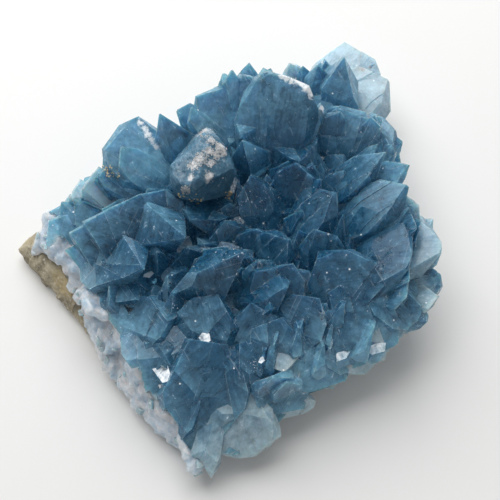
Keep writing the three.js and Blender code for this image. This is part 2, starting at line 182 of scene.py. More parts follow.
def dropBits(piece, least):
    # loose bits that the cuts leave behind, smaller than least in mm, are deleted
    mesh = piece.data
    group = list(range(len(mesh.vertices)))

    def groupOf(index):
        while group[index] != index:
            group[index] = group[group[index]]
            index = group[index]
        return index

    for edge in mesh.edges:
        group[groupOf(edge.vertices[0])] = groupOf(edge.vertices[1])
    places = [vertex.co.copy() for vertex in mesh.vertices]
    parts = {}
    for i in range(len(places)):
        parts.setdefault(groupOf(i), []).append(i)
    small = set()
    for part in parts.values():
        if max((places[i] - places[part[0]]).length for i in part) < least * mm:
            small.update(part)
    selectParts(piece, "VERT", lambda vertex: vertex.index in small)
    bpy.ops.mesh.delete(type="VERT")
    objectMode()


def surfaceOf(piece):
    corners = [vertex.co for vertex in piece.data.vertices]
    return BVHTree.FromPolygons(corners, [tuple(face.vertices) for face in piece.data.polygons])


def coversPoint(surface, spot):
    return surface.ray_cast(Vector((spot.x, spot.y, 0.1)), Vector((0, 0, -1)))[0] is not None


def randomWay(rng):
    return Vector(rng.gauss(0, 1) for _ in range(3)).normalized()


def eitherWay(rng, most):
    return rng.uniform(-most, most)


def partAlong(point, start, along):
    # where on a line a point is nearest: 0 at its start, 1 at its end
    return max(0.0, min(1.0, (point - start).dot(along) / along.length_squared))


def nearness(x, y, spotX, spotY, radius):
    # 1 at the spot, 0 from its radius outwards
    return max(0.0, 1 - math.hypot(x - spotX, y - spotY) / radius)


def upOn(normal):
    # turn that stands a shape on a face
    return normal.to_track_quat("Z", "Y").to_matrix().to_4x4()


def keepInBox(piece, margin=0.02 * mm):
    low, high = cadBox
    for vertex in piece.data.vertices:
        for axis in range(3):
            lowest = low[axis] + (margin if axis < 2 else 0.0)
            vertex.co[axis] = min(max(vertex.co[axis], lowest), high[axis] - margin)


def triangleCount(piece):
    return sum(len(face.vertices) - 2 for face in piece.data.polygons)


# Shader maths: a socket that takes part in plain expressions, and a tree that makes any node

class Sock:
    def __init__(self, tree, link):
        self.tree = tree
        self.link = link

    def math(self, operation, *others):
        return self.tree.node("ShaderNodeMath", {"operation": operation}, dict(enumerate((self, *others))))

    def __add__(self, other):
        return self.math("ADD", other)

    def __mul__(self, other):
        return self.math("MULTIPLY", other)

    def __sub__(self, other):
        return self.math("SUBTRACT", other)

    def __rsub__(self, other):
        return self.math("MULTIPLY_ADD", -1.0, other)

    __radd__ = __add__
    __rmul__ = __mul__

    def ramp(self, low, high):
        # 0 below low, 1 above high
        return self.tree.node("ShaderNodeMapRange", {"interpolation_type": "SMOOTHSTEP"},
                              {"Value": self, "From Min": low, "From Max": high})


class Finish:
    def __init__(self, name):
        self.material = bpy.data.materials.new(name)
        self.material.use_nodes = True
        self.nodes = self.material.node_tree.nodes
        self.links = self.material.node_tree.links
        self.nodes.clear()
        self.output = self.nodes.new("ShaderNodeOutputMaterial")

    def node(self, kind, settings=None, values=None, output=0):
        node = self.nodes.new(kind)
        for name, value in (settings or {}).items():
            setattr(node, name, value)
        for name, value in (values or {}).items():
            self.feed(node, name, value)
        return Sock(self, node.outputs[output])

    def feed(self, node, name, value):
        if isinstance(value, Sock):
            self.links.new(value.link, node.inputs[name])
        elif isinstance(value, tuple) and len(value) == 3 and node.inputs[name].type == "RGBA":
            node.inputs[name].default_value = (*value, 1.0)
        else:
            node.inputs[name].default_value = value

    def noiseAt(self, place, scale, detail=2.0, rough=0.5, distortion=0.0):
        return self.node("ShaderNodeTexNoise", {}, {
            "Vector": place, "Scale": scale, "Detail": detail, "Roughness": rough, "Distortion": distortion})

    def cells(self, place, scale, feature="F1", output=0):
        values = {"Vector": place, "Scale": scale}
        return self.node("ShaderNodeTexVoronoi", {"feature": feature}, values, output)

    def cellChance(self, place, scale):
        return self.channel(self.cells(place, scale, output=1), 0)

    def channel(self, colour, index):
        return self.node("ShaderNodeSeparateColor", {}, {0: colour}, index)

    def place(self):
        # Object coordinates
        return self.node("ShaderNodeTexCoord", output=3)

    def stretched(self, place, scale):
        return self.node("ShaderNodeMapping", {}, {"Vector": place, "Scale": scale})

    def bump(self, height, strength, distance):
        values = {"Height": height, "Strength": strength, "Distance": distance}
        return self.node("ShaderNodeBump", {}, values)

    def blend(self, amount, low, high):
        # colours only
        return self.node("ShaderNodeMix", {"data_type": "RGBA"}, {0: amount, 6: low, 7: high}, 2)

    def mixed(self, amount, first, second):
        # shaders only
        return self.node("ShaderNodeMixShader", {}, {0: amount, 1: first, 2: second})

    def surface(self, **values):
        named = {name.replace("_", " "): value for name, value in values.items()}
        return self.node("ShaderNodeBsdfPrincipled", {}, named)

    def done(self, shader, volume=None):
        self.links.new(shader.link, self.output.inputs["Surface"])
        if volume:
            self.links.new(volume.link, self.output.inputs["Volume"])
        return self.material


# Clear grey-blue crystal: its colour deepens with its thickness, and the faces carry growth lines, veils,
# scratches, frosted places, painted sparkles, painted highlights on glint facets, and paler edges, partly
# wear and partly highlight

crystalLook = {
    "absorbColour": (0.1, 0.55, 0.72),
    "absorbDensity": 90.0,  # per metre
    "clear": (0.80, 0.90, 0.95),
    "deep": (0.02, 0.14, 0.27),
    "pale": (0.27, 0.57, 0.77),
    "frostAndGlints": (0.66, 0.77, 0.84),
    "white": (0.93, 0.95, 0.97),
    "ior": 1.55,
    "haze": 0.38,
    "glowDepth": 3.0 * mm,
    # width of the paler sharp edges, partly wear and partly painted highlight
    "edgeWearAndHighlight": 0.2 * mm,
}
paleLook = {
    **crystalLook,
    "absorbDensity": 30.0,
    "deep": (0.16, 0.34, 0.48),
    "pale": (0.55, 0.73, 0.82),
    "haze": 0.5,
}
knobLook = {
    **crystalLook,
    "deep": (0.07, 0.18, 0.27),
    "pale": (0.36, 0.52, 0.62),
    "frostAndGlints": (0.56, 0.60, 0.62),
    "white": (0.66, 0.65, 0.66),
    "haze": 0.62,
}


def frostNear(finish, place, frosted):
    # 1 in the middle of a frosted place, 0 at its rim
    amount = 0.0
    for spot, radius in frosted:
        away = finish.node("ShaderNodeVectorMath", {"operation": "DISTANCE"}, {0: place, 1: tuple(spot)}, 1)
        near = 1.0 - away * (1.0 / radius)
        amount = near.math("MAXIMUM", amount)
    return amount


def crystalMaterial(name, look, frosted=()):
    finish = Finish(name)
    place = finish.place()
    grain = finish.node("ShaderNodeUVMap", {"uv_map": "grain"})
    tone = finish.node("ShaderNodeAttribute", {"attribute_name": "tone"})
    rise, chance, bright = (finish.channel(tone, index) for index in range(3))

    lines = finish.noiseAt(finish.stretched(grain, (1600.0, 90.0, 1.0)), 1.0, detail=4.0, rough=0.6)
    across = finish.stretched(grain, (60.0, 2600.0, 1.0))
    scratches = finish.noiseAt(across, 1.0, detail=3.0).ramp(0.66, 0.72)
    slanted = finish.node("ShaderNodeMapping", {}, {
        "Vector": place, "Rotation": (0.6, 0.4, 0.9), "Scale": (2200.0, 110.0, 300.0)})
    hairlines = finish.noiseAt(slanted, 1.0, detail=2.0).ramp(0.68, 0.73)
    mottle = finish.noiseAt(place, 620.0, detail=6.0, rough=0.66, distortion=0.4)
    veils = finish.noiseAt(place, 190.0, detail=5.0, rough=0.6, distortion=1.2)
    sugar = finish.noiseAt(place, 2600.0, detail=3.0, rough=0.7)
    # painted sparkles: scattered white dots that stand in for glints on the faces
    some = finish.cellChance(place, 620.0).ramp(0.95, 0.96)
    paintedSparkles = (1.0 - finish.cells(place, 620.0).ramp(0.1, 0.2)) * some

    # rise is the paleness from the faces, partly the crystal's own and partly painted light and shade
    pale = rise + (chance - 0.5) * 0.24 + (mottle - 0.5) * 0.24 + (veils - 0.5) * 0.36 + (lines - 0.5) * 0.7
    pale = pale + (sugar - 0.5) * 0.35
    colour = finish.blend(pale.ramp(0.0, 1.0), look["deep"], look["pale"])
    rough = veils * 0.2 + lines * 0.16 + 0.04
    bump = finish.bump(lines * 1.2 + mottle * 0.25 + veils * 0.3 + sugar * 0.15, 0.4, 0.16 * mm)
    clear = finish.surface(
        Base_Color=look["clear"], Roughness=rough, Normal=bump, Transmission_Weight=1.0, IOR=look["ior"])
    hazy = finish.surface(
        Base_Color=colour, Roughness=rough, Normal=bump, IOR=look["ior"], Specular_IOR_Level=0.3,
        Subsurface_Weight=1.0, Subsurface_Radius=(0.6, 1.0, 1.2), Subsurface_Scale=look["glowDepth"])
    haze = look["haze"] + (veils - 0.5) * 0.4 + (mottle - 0.5) * 0.4
    body = finish.mixed(haze.ramp(0.0, 0.8), clear, hazy)

    # paler along sharp edges: partly wear, partly a painted edge highlight
    edge = edgeMask(finish, look["edgeWearAndHighlight"]) * (mottle.ramp(0.38, 0.62) * 0.6)
    # painted highlights: the white of the glint facets, broken up by the veils and mottle
    bright = bright * (veils * 0.7 + mottle * 0.6).ramp(0.35, 0.85)
    white = paintedSparkles + bright
    dull = (mottle * mottle - 0.1).ramp(0.25, 0.45) * 0.4
    # white marks: the sparkles, the glint facets and part of the edges are painted highlights; the rest are
    # the crystal's own marks
    marks = scratches * 0.25 + hairlines * 0.3 + paintedSparkles + edge + dull + bright
    if frosted:
        grainy = finish.noiseAt(place, 1100.0, detail=7.0, rough=0.75)
        ragged = (grainy - 0.5) * 1.4 + (mottle - 0.5) * 1.6
        crusty = (frostNear(finish, place, frosted) * 0.9 + ragged).ramp(0.2, 0.8)
        white = white + crusty * 0.8
        marks = marks + crusty
    # frosted white surface of the marks, which also paints the sparkles, glints and edge highlights
    frostAndGlints = finish.surface(
        Base_Color=finish.blend(white, look["frostAndGlints"], look["white"]), Roughness=0.5,
        Normal=finish.bump(mottle + sugar * 0.5, 0.8, 0.3 * mm))
    volume = finish.node("ShaderNodeVolumeAbsorption", {}, {
        "Color": look["absorbColour"], "Density": look["absorbDensity"]})
    return finish.done(finish.mixed(marks.ramp(0.0, 1.0), body, frostAndGlints), volume)


def edgeMask(finish, width):
    # 1 along sharp edges
    rounded = finish.node("ShaderNodeBevel", {"samples": 4}, {"Radius": width})
    flat = finish.node("ShaderNodeNewGeometry", output=1)
    same = finish.node("ShaderNodeVectorMath", {"operation": "DOT_PRODUCT"}, {0: rounded, 1: flat}, 1)
    return (1.0 - same).ramp(0.01, 0.12)


def seamMaterial():
    finish = Finish("granular_celestite")
    place = finish.place()
    broad = finish.noiseAt(place, 150.0, detail=5.0, rough=0.65, distortion=1.0)
    grit = finish.noiseAt(place, 900.0, detail=5.0, rough=0.7)
    grains = finish.cellChance(place, 650.0)
    lumps = finish.cellChance(place, 300.0)
    veins = finish.noiseAt(finish.stretched(place, (260.0, 90.0, 260.0)), 1.0, detail=4.0, distortion=1.5)
    cracks = 1.0 - finish.cells(place, 330.0, "DISTANCE_TO_EDGE").ramp(0.0, 0.09)
    tones = broad * 1.4 + (veins - 0.5) * 1.2 + (lumps - 0.5) * 0.35 + (grains - 0.5) * 0.25
    colour = finish.blend(tones.ramp(0.35, 1.05), (0.45, 0.55, 0.65), (0.78, 0.82, 0.88))
    colour = finish.blend(grit.ramp(0.52, 0.75) * 0.4, colour, (0.93, 0.95, 0.97))
    colour = finish.blend(cracks * 0.25, colour, (0.30, 0.42, 0.53))
    bump = finish.bump(grit + broad * 0.6 - cracks * 0.25, 0.6, 0.3 * mm)
    hazy = finish.surface(
        Base_Color=colour, Roughness=0.32, Normal=bump, Subsurface_Weight=1.0,
        Subsurface_Radius=(0.8, 1.0, 1.1), Subsurface_Scale=4.5 * mm)
    clear = finish.surface(
        Base_Color=(0.85, 0.91, 0.95), Roughness=0.2, Normal=bump, Transmission_Weight=1.0, IOR=1.55)
    clearness = (veins * 0.6 + grains * 0.5).ramp(0.35, 0.8) * 0.2
    return finish.done(finish.mixed(clearness, hazy, clear))


def grainMaterial(name, noiseValues, span, low, high, rough, relief):
    finish = Finish(name)
    grit = finish.noiseAt(finish.place(), *noiseValues)
    colour = finish.blend(grit.ramp(*span), low, high)
    bump = finish.bump(grit, relief, 0.2 * mm)
    return finish.done(finish.surface(Base_Color=colour, Roughness=rough, Normal=bump))


# white of the single grains: partly frosting, partly painted glints
def frostAndGlintMaterial():
    return grainMaterial(
        "frost_and_glint_white", (1400.0, 4.0, 0.7), (0.35, 0.65),
        (0.62, 0.70, 0.75), (0.93, 0.95, 0.96), 0.35, 0.6)


def goldMaterial():
    return grainMaterial(
        "ochre_grains", (1600.0, 3.0), (0.4, 0.6),
        (0.48, 0.37, 0.19), (0.76, 0.65, 0.42), 0.6, 0.5)


def crustMaterial():
    finish = Finish("greyish_crust")
    place = finish.place()
    grit = finish.noiseAt(place, 1400.0, detail=4.0, rough=0.7)
    broad = finish.noiseAt(place, 420.0, detail=3.0)
    colour = finish.blend(broad.ramp(0.38, 0.62), (0.36, 0.40, 0.42), (0.60, 0.59, 0.58))
    colour = finish.blend(grit.ramp(0.5, 0.7) * 0.7, colour, (0.76, 0.76, 0.75))
    bump = finish.bump(grit, 0.8, 0.3 * mm)
    return finish.done(finish.surface(Base_Color=colour, Roughness=0.6, Normal=bump))


def rockMaterial():
    finish = Finish("tan_rock")
    place = finish.place()
    broad = finish.noiseAt(place, 110.0, detail=5.0, rough=0.65, distortion=0.5)
    grit = finish.noiseAt(place, 1100.0, detail=4.0, rough=0.75)
    stain = finish.noiseAt(place, 60.0, detail=3.0)
    colour = finish.blend(broad.ramp(0.38, 0.62), (0.24, 0.21, 0.15), (0.50, 0.44, 0.31))
    colour = finish.blend(stain.ramp(0.52, 0.64) * 0.6, colour, (0.47, 0.36, 0.17))
    colour = finish.blend(grit.ramp(0.5, 0.72), colour, (0.62, 0.58, 0.48))
    bump = finish.bump(grit + broad, 0.8, 0.6 * mm)
    return finish.done(finish.surface(Base_Color=colour, Roughness=0.9, Normal=bump))


def floorMaterial():
    finish = Finish("pale_floor")
    return finish.done(finish.surface(Base_Color=(0.82, 0.82, 0.81), Roughness=0.9))


# The bed: everything of the solid below it is pale granular seam, everything above is clear crystal

bed = {
    "middle": 10.0,  # mm, under the crystals
    "border": 4.5,  # near the outer edge
    "borderWide": 9.0,
    "brokenEdge": [(-62, 6, 6), (-59, -2, 7), (-52, -11, 6.5), (-47, -17.5, 7.5), (-42.5, -27, 8),
                   (-36.5, -37, 7), (-30, -45.5, 4.5), (-20, -54.5, 1.5), (-15, -60, -1)],  # x, y, width
    "brokenHeight": 18.0,
    "waver": 2.2,
    "wave": 0.8,
    "lip": 2.0,  # rise and width of the lip behind the broken edge
    "overlap": 0.5,  # of the crystals and the bed
    "leastPart": 4.0,  # loose parts of the crystals that are smaller go
    "cells": (110, 88),
    "baseTop": 19.5,  # of the clear mass that the crystals stand in, in the middle
    "baseFall": 7.0,  # at the border
    "baseCells": (26, 20),
    "baseRough": 1.6,
    "baseDips": [(34, 51, 20, 14), (0, -57, 12, 7), (-14, -62, 8, 7), (-13, -48, 12, 6),
                 (8, -40, 11, 5), (18, -36, 10, 5)],  # x, y, radius and depth
    "voxel": 0.7,
    "rough": [(5.0, 1.2, "CLOUDS"), (1.8, 0.6, "VORONOI")],  # size and height in mm of the seam's relief
}


def insideBroken(x, y):
    # distance in from the broken edge, less the width of its band there
    point = Vector((x, y))
    best = (1000.0, 0.0)
    corners = bed["brokenEdge"]
    for (x0, y0, wide0), (x1, y1, wide1) in zip(corners, corners[1:]):
        start = Vector((x0, y0))
        along = Vector((x1, y1)) - start
        part = partAlong(point, start, along)
        away = (point - start - along * part).length
        side = 1 if along.cross(point - start) > 0 else -1
        best = min(best, (away, side * away - wide0 - (wide1 - wide0) * part))
    return best[1]


def ripple(x, y):
    return noise.noise(Vector((x, y, 0.0)) * 0.16) + 0.5 * noise.noise(Vector((x, y, 9.0)) * 0.45)


def makeSlab(name, heightAt, cells):
    # a block with an uneven top, from heightAt(plan x, plan y) down
    low, high = cadBox
    slab = newShape(
        name, bpy.ops.mesh.primitive_grid_add, x_subdivisions=cells[0], y_subdivisions=cells[1], size=1.0)
    slab.scale = (high[0] - low[0] + 6 * mm, high[1] - low[1] + 6 * mm, 1.0)
    settle(slab, name)
    for vertex in slab.data.vertices:
        x, y, _ = toPlan(vertex.co)
        vertex.co.z = heightAt(x, y) * mm
    editMode(slab)
    bpy.ops.mesh.extrude_region_move(TRANSFORM_OT_translate={"value": (0, 0, -60 * mm)})
    bpy.ops.transform.resize(value=(1, 1, 0), center_override=(0, 0, -20 * mm))
    bpy.ops.mesh.select_all(action="SELECT")
    bpy.ops.mesh.normals_make_consistent(inside=False)
    objectMode()
    return slab


def edgeDistance(surface, x, y, most):
    # how far a plan point is from the outline, in mm, up to most
    for radius in range(1, int(most) + 1):
        for k in range(12):
            angle = math.tau * k / 12
            spot = fromPlan(x + radius * math.cos(angle), y + radius * math.sin(angle))
            if not coversPoint(surface, spot):
                return radius - 0.5
    return most


def makeBedHeights(surface):
    # the bed's height on a coarse grid, read by the slabs
    known = {}
    rng = random.Random(seeds["bed"])

    def innerAt(x, y):
        key = (round(x / 2), round(y / 2))
        if key not in known:
            known[key] = edgeDistance(surface, key[0] * 2, key[1] * 2, bed["borderWide"])
        return known[key] / bed["borderWide"]

    def baseAt(x, y):
        dip = sum(deep * min(1.0, 2 * nearness(x, y, *spot)) for *spot, deep in bed["baseDips"])
        fall = bed["baseFall"] * (1 - innerAt(x, y))
        return bed["baseTop"] - fall - dip + eitherWay(rng, 1) * bed["baseRough"]

    def heightAt(x, y):
        inner = innerAt(x, y)
        wave = ripple(x, y)
        away = insideBroken(x, y) - bed["waver"] * wave
        if away < 0.0:
            return bed["brokenHeight"]
        level = bed["border"] + (bed["middle"] - bed["border"]) * inner
        return level + bed["wave"] * wave + bed["lip"] * max(0.0, bed["lip"] - away)

    return heightAt, baseAt


# Crystals. A leaf is one plate of 1 x 1 x 1, length along z; a crystal is a few leaves grown on each other.

growthStep = {
    "perFace": (1, 2),
    "height": (0.01, 0.035),  # of the thickness
    "slant": 0.35,  # how far a step strays from the growth direction
}
leafKinds = {
    "fan": {
        "count": 6,
        "outline": [(0.26, 0), (0.5, 0.56), (0.43, 0.82), (0.24, 0.97), (0.04, 1.0)],
        "slant": 0.14,
        "rim": (0.03, 0.14),
        "roof": 0.55,
        "spin": 12,  # degrees that a side leaf turns at most
        "more": 1,  # side leaves beside those of its row
        "side": {
            "across": (0.05, 0.32), "out": (-0.5, 0.2), "long": (0.82, 1.0), "wide": (0.34, 0.6),
            "thick": (0.5, 0.8)},
    },
    "blade": {
        "count": 8,
        "outline": [(0.32, 0), (0.5, 0.46), (0.4, 0.72), (0.03, 1.0)],
        "slant": 0.16,
        "rim": (0.03, 0.16),
        "roof": 0.45,
        "spin": 7,
    },
    "wedge": {
        "count": 3,
        "outline": [(0.38, 0), (0.5, 0.64), (0.32, 1.0)],
        "slant": 0.14,
        "rim": (0.02, 0.08),
        "roof": 0.45,
        "spin": 5,
    },
    "chisel": {
        "count": 3,
        "outline": [(0.42, 0), (0.5, 0.7), (0.44, 1.0)],
        "slant": 0.1,
        "rim": (0.02, 0.08),
        "roof": 0.55,
        "spin": 4,
    },
    "crest": {
        "count": 6,
        "outline": [(0.34, 0), (0.5, 0.5), (0.47, 0.82), (0.28, 0.98), (0.06, 1.0)],
        "slant": 0.16,
        "rim": (0.03, 0.14),
        "roof": 0.6,
        "spin": 10,
        "side": {"across": (0.1, 0.42), "long": (0.82, 0.98), "wide": (0.3, 0.6)},
    },
    "spear": {
        "count": 4,
        "spin": 3,
        "waist": 0.55,  # where it is widest
        "waistVaries": (0.85, 1.1),
        "ridge": 0.14,
        "ridgeVaries": (0.5, 1.4),
        "ridgeAlong": (0.75, 0.95),  # of the waist
        "ends": ((0.02, 1), (0.32, 0)),  # half width at the tip and at the foot
    },
}
leafCuts = {
    "across": (0.78, 1.05),  # how the outline's corners vary
    "along": (0.9, 1.03),
    "edge": (0.02, 0.2),  # half the thickness of a rim's edge
    "lean": (0.08, 0.3),  # of the low ridges
    "ridgeAcross": 0.2,
    "ridgeAlong": (0.3, 0.6),
    "ridgeFall": (0.0, 0.3),
    "crest": 0.22,
    "roofVaries": (0.7, 1.15),
    "roofLean": 0.1,
}
sideLeaf = {
    "across": (0.12, 0.32),  # of the width
    "out": (-0.55, -0.05),  # of the thickness
    "long": (0.75, 0.97),
    "wide": (0.5, 0.8),
    "thick": (0.6, 1.0),
    "lean": 5,  # degrees
    "thicker": 1.7,  # a crystal's thickness over that of its solid
}


def outlineCuts(kind, rng):
    cuts = []
    for side in (-1, 1):
        corners = [(x * rng.uniform(*leafCuts["across"]), z * rng.uniform(*leafCuts["along"]))
                   for x, z in kind["outline"]]
        for (x0, z0), (x1, z1) in zip(corners, corners[1:]):
            outward = Vector((side * (z1 - z0), 0, -(x1 - x0))).normalized()
            outward.y = eitherWay(rng, kind["slant"])
            cuts.append(((side * (x0 + x1) / 2, 0, (z0 + z1) / 2), outward))
    return cuts


def rimCuts(kind, rng):
    # each rim narrows to an edge between the two broad faces
    cuts = []
    for side in (-1, 1):
        for (x0, z0), (x1, z1) in zip(kind["outline"], kind["outline"][1:]):
            for face in (-1, 1):
                deep, edge = rng.uniform(*kind["rim"]), rng.uniform(*leafCuts["edge"])
                outward = Vector((side * (z1 - z0), 0, x0 - x1)).normalized()
                outward.y = face * deep / (0.5 - edge)
                cuts.append(((side * (x0 + x1) / 2, face * edge, (z0 + z1) / 2), outward))
    return cuts


def faceCuts(rng):
    # low ridges on both broad faces
    least, most = leafCuts["lean"]
    cuts = []
    for side in (-1, 1):
        for lean in (rng.uniform(-most, -least), rng.uniform(least, most)):
            across = eitherWay(rng, leafCuts["ridgeAcross"])
            place = (across, side * 0.5, rng.uniform(*leafCuts["ridgeAlong"]))
            cuts.append((place, (lean, side, rng.uniform(*leafCuts["ridgeFall"]))))
    return cuts


def roofCuts(roof, rng):
    # two slopes that meet in a crest across the end, one of them longer
    crest = eitherWay(rng, leafCuts["crest"])
    cuts = []
    for side in (-1, 1):
        start = roof * rng.uniform(*leafCuts["roofVaries"])
        outward = (eitherWay(rng, leafCuts["roofLean"]), side * (1 - start), abs(side * 0.5 - crest))
        cuts.append(((0, crest, 1.0), outward))
    return cuts


def spearCuts(kind, rng):
    cuts = []
    for side in (-1, 1):
        waist = kind["waist"] * rng.uniform(*kind["waistVaries"])
        for face in (-1, 1):
            ridge = kind["ridge"] * rng.uniform(*kind["ridgeVaries"])
            waistPoint = Vector((side * 0.5, 0, waist))
            ridgePoint = Vector((side * ridge, face * 0.5, waist * rng.uniform(*kind["ridgeAlong"])))
            for half, height in kind["ends"]:
                far = Vector((side * half, 0, height))
                outward = (far - waistPoint).cross(ridgePoint - waistPoint)
                if outward.dot(Vector((side, face, 0))) < 0:
                    outward.negate()
                cuts.append((waistPoint, outward))
    return cuts


def addGrowthStep(leaf, side, rng):
    # a broad face is parted along its growth, and one part is raised
    through = Vector((rng.uniform(-0.3, 0.3), 0, rng.uniform(0.3, 0.7)))
    across = Vector((rng.choice((-1, 1)), 0, rng.uniform(-1, 1) * growthStep["slant"]))
    rise = side * rng.uniform(*growthStep["height"])
    selectParts(leaf, "FACE", lambda face: face.normal.y * side > 0.5)
    bpy.ops.mesh.bisect(plane_co=through, plane_no=across)
    objectMode()
    selectParts(
        leaf, "FACE", lambda face: face.normal.y * side > 0.5 and (face.center - through).dot(across) > 0)
    bpy.ops.mesh.extrude_region_move(TRANSFORM_OT_translate={"value": (0, rise, 0)})
    objectMode()


def makeLeaf(form, rng):
    kind = leafKinds[form]
    leaf = newShape(f"{form}_leaf", bpy.ops.mesh.primitive_cube_add, size=1.0, location=(0, 0, 0.5))
    if form == "spear":
        return cutPiece(leaf, spearCuts(kind, rng))
    cuts = outlineCuts(kind, rng) + faceCuts(rng) + rimCuts(kind, rng)
    if "roof" in kind:
        cuts += roofCuts(kind["roof"], rng)
    cutPiece(leaf, cuts)
    for side in (-1, 1):
        for _ in range(rng.randint(*growthStep["perFace"])):
            addGrowthStep(leaf, side, rng)
    return leaf


def leafPlace(foot, along, across, size):
    turn = Matrix((across, along.cross(across), along)).transposed().to_4x4()
    return Matrix.Translation(foot) @ turn @ Matrix.Diagonal((*size, 1.0))


def copyTo(master, place):
    piece = bpy.data.objects.new(master.name, master.data.copy())
    scene.collection.objects.link(piece)
    piece.data.transform(place)
    if place.determinant() < 0:
        piece.data.flip_normals()
    return piece


# Small broken places along the rims of the large crystals

nick = {
    "perCrystal": (6, 12),
    "size": (0.9, 2.4),  # mm
    "cuts": ((0.1, 0.1, 0.1), (-0.2, 0.2, 0)),
    "forms": ("fan", "blade", "crest"),
    "leastWide": 11,
    "above": 0.4,  # of the length
    "inward": (0.97, 0.98),
}


def makeNick(rng):
    cutter = newShape("nick", bpy.ops.mesh.primitive_cube_add, size=1.0)
    return cutPiece(cutter, [(place, randomWay(rng)) for place in nick["cuts"]])


def nickRim(cutter, rng, form, place):
    corners = [corner for corner in leafKinds[form]["outline"] if corner[1] > nick["above"]]
    pieces = []
    for _ in range(rng.randint(*nick["perCrystal"])):
        i = rng.randrange(len(corners) - 1)
        (x0, z0), (x1, z1) = corners[i], corners[i + 1]
        part = rng.random()
        side, inX, inZ = rng.choice((-1, 1)), *nick["inward"]
        spot = Vector((
            side * (x0 + (x1 - x0) * part) * inX, eitherWay(rng, 0.5), (z0 + (z1 - z0) * part) * inZ))
        size = rng.uniform(*nick["size"]) * mm
        turn = Matrix.Rotation(rng.uniform(0, math.tau), 4, randomWay(rng))
        shape = Matrix.Translation(place @ spot) @ turn @ Matrix.Diagonal((size, size, size, 1))
        pieces.append(copyTo(cutter, shape))
    return pieces


def growCrystal(leaves, rng, form, foot, tip, wide, thick, twist=0.0, count=3):
    # foot and tip in plan mm; smaller leaves stand beside the main one, each turned a little
    start, end = fromPlan(*foot), fromPlan(*tip)
    along = (end - start).normalized()
    long = (end - start).length
    across = along.cross(Vector((0, 0, 1))).normalized()
    across.rotate(Matrix.Rotation(math.radians(twist), 3, along))
    out = across.cross(along)
    wide, thick = wide * mm, thick * mm * sideLeaf["thicker"]
    places = [leafPlace(start, along, across, (wide, thick, long))]
    beside = {**sideLeaf, **leafKinds[form].get("side", {})}
    for i in range(1, count + leafKinds[form].get("more", 0)):
        part = [rng.uniform(*beside[name]) for name in ("wide", "thick", "long")]
        size = [value * share for value, share in zip((wide, thick, long), part)]
        side = (-1) ** i
        spot = start + across * wide * side * rng.uniform(*beside["across"])
        spot += out * thick * rng.uniform(*beside["out"])
        spin = math.radians(-side * rng.uniform(0.3, 1.0) * leafKinds[form]["spin"])
        lean = math.radians(rng.uniform(-1, 1) * beside["lean"])
        turn = Matrix.Rotation(lean, 3, across) @ Matrix.Rotation(spin, 3, out)
        places.append(leafPlace(spot, turn @ along, turn @ across, size))
    mirror = Matrix.Diagonal((-1, 1, 1, 1))
    pieces = []
    for place in places:
        leaf = rng.choice(leaves[form])
        pieces.append(copyTo(leaf, place @ mirror if rng.random() < 0.5 else place))
    return pieces, places[0]


# Large crystals: form, foot, tip, width, thickness, twist in degrees and leaves, all in plan mm

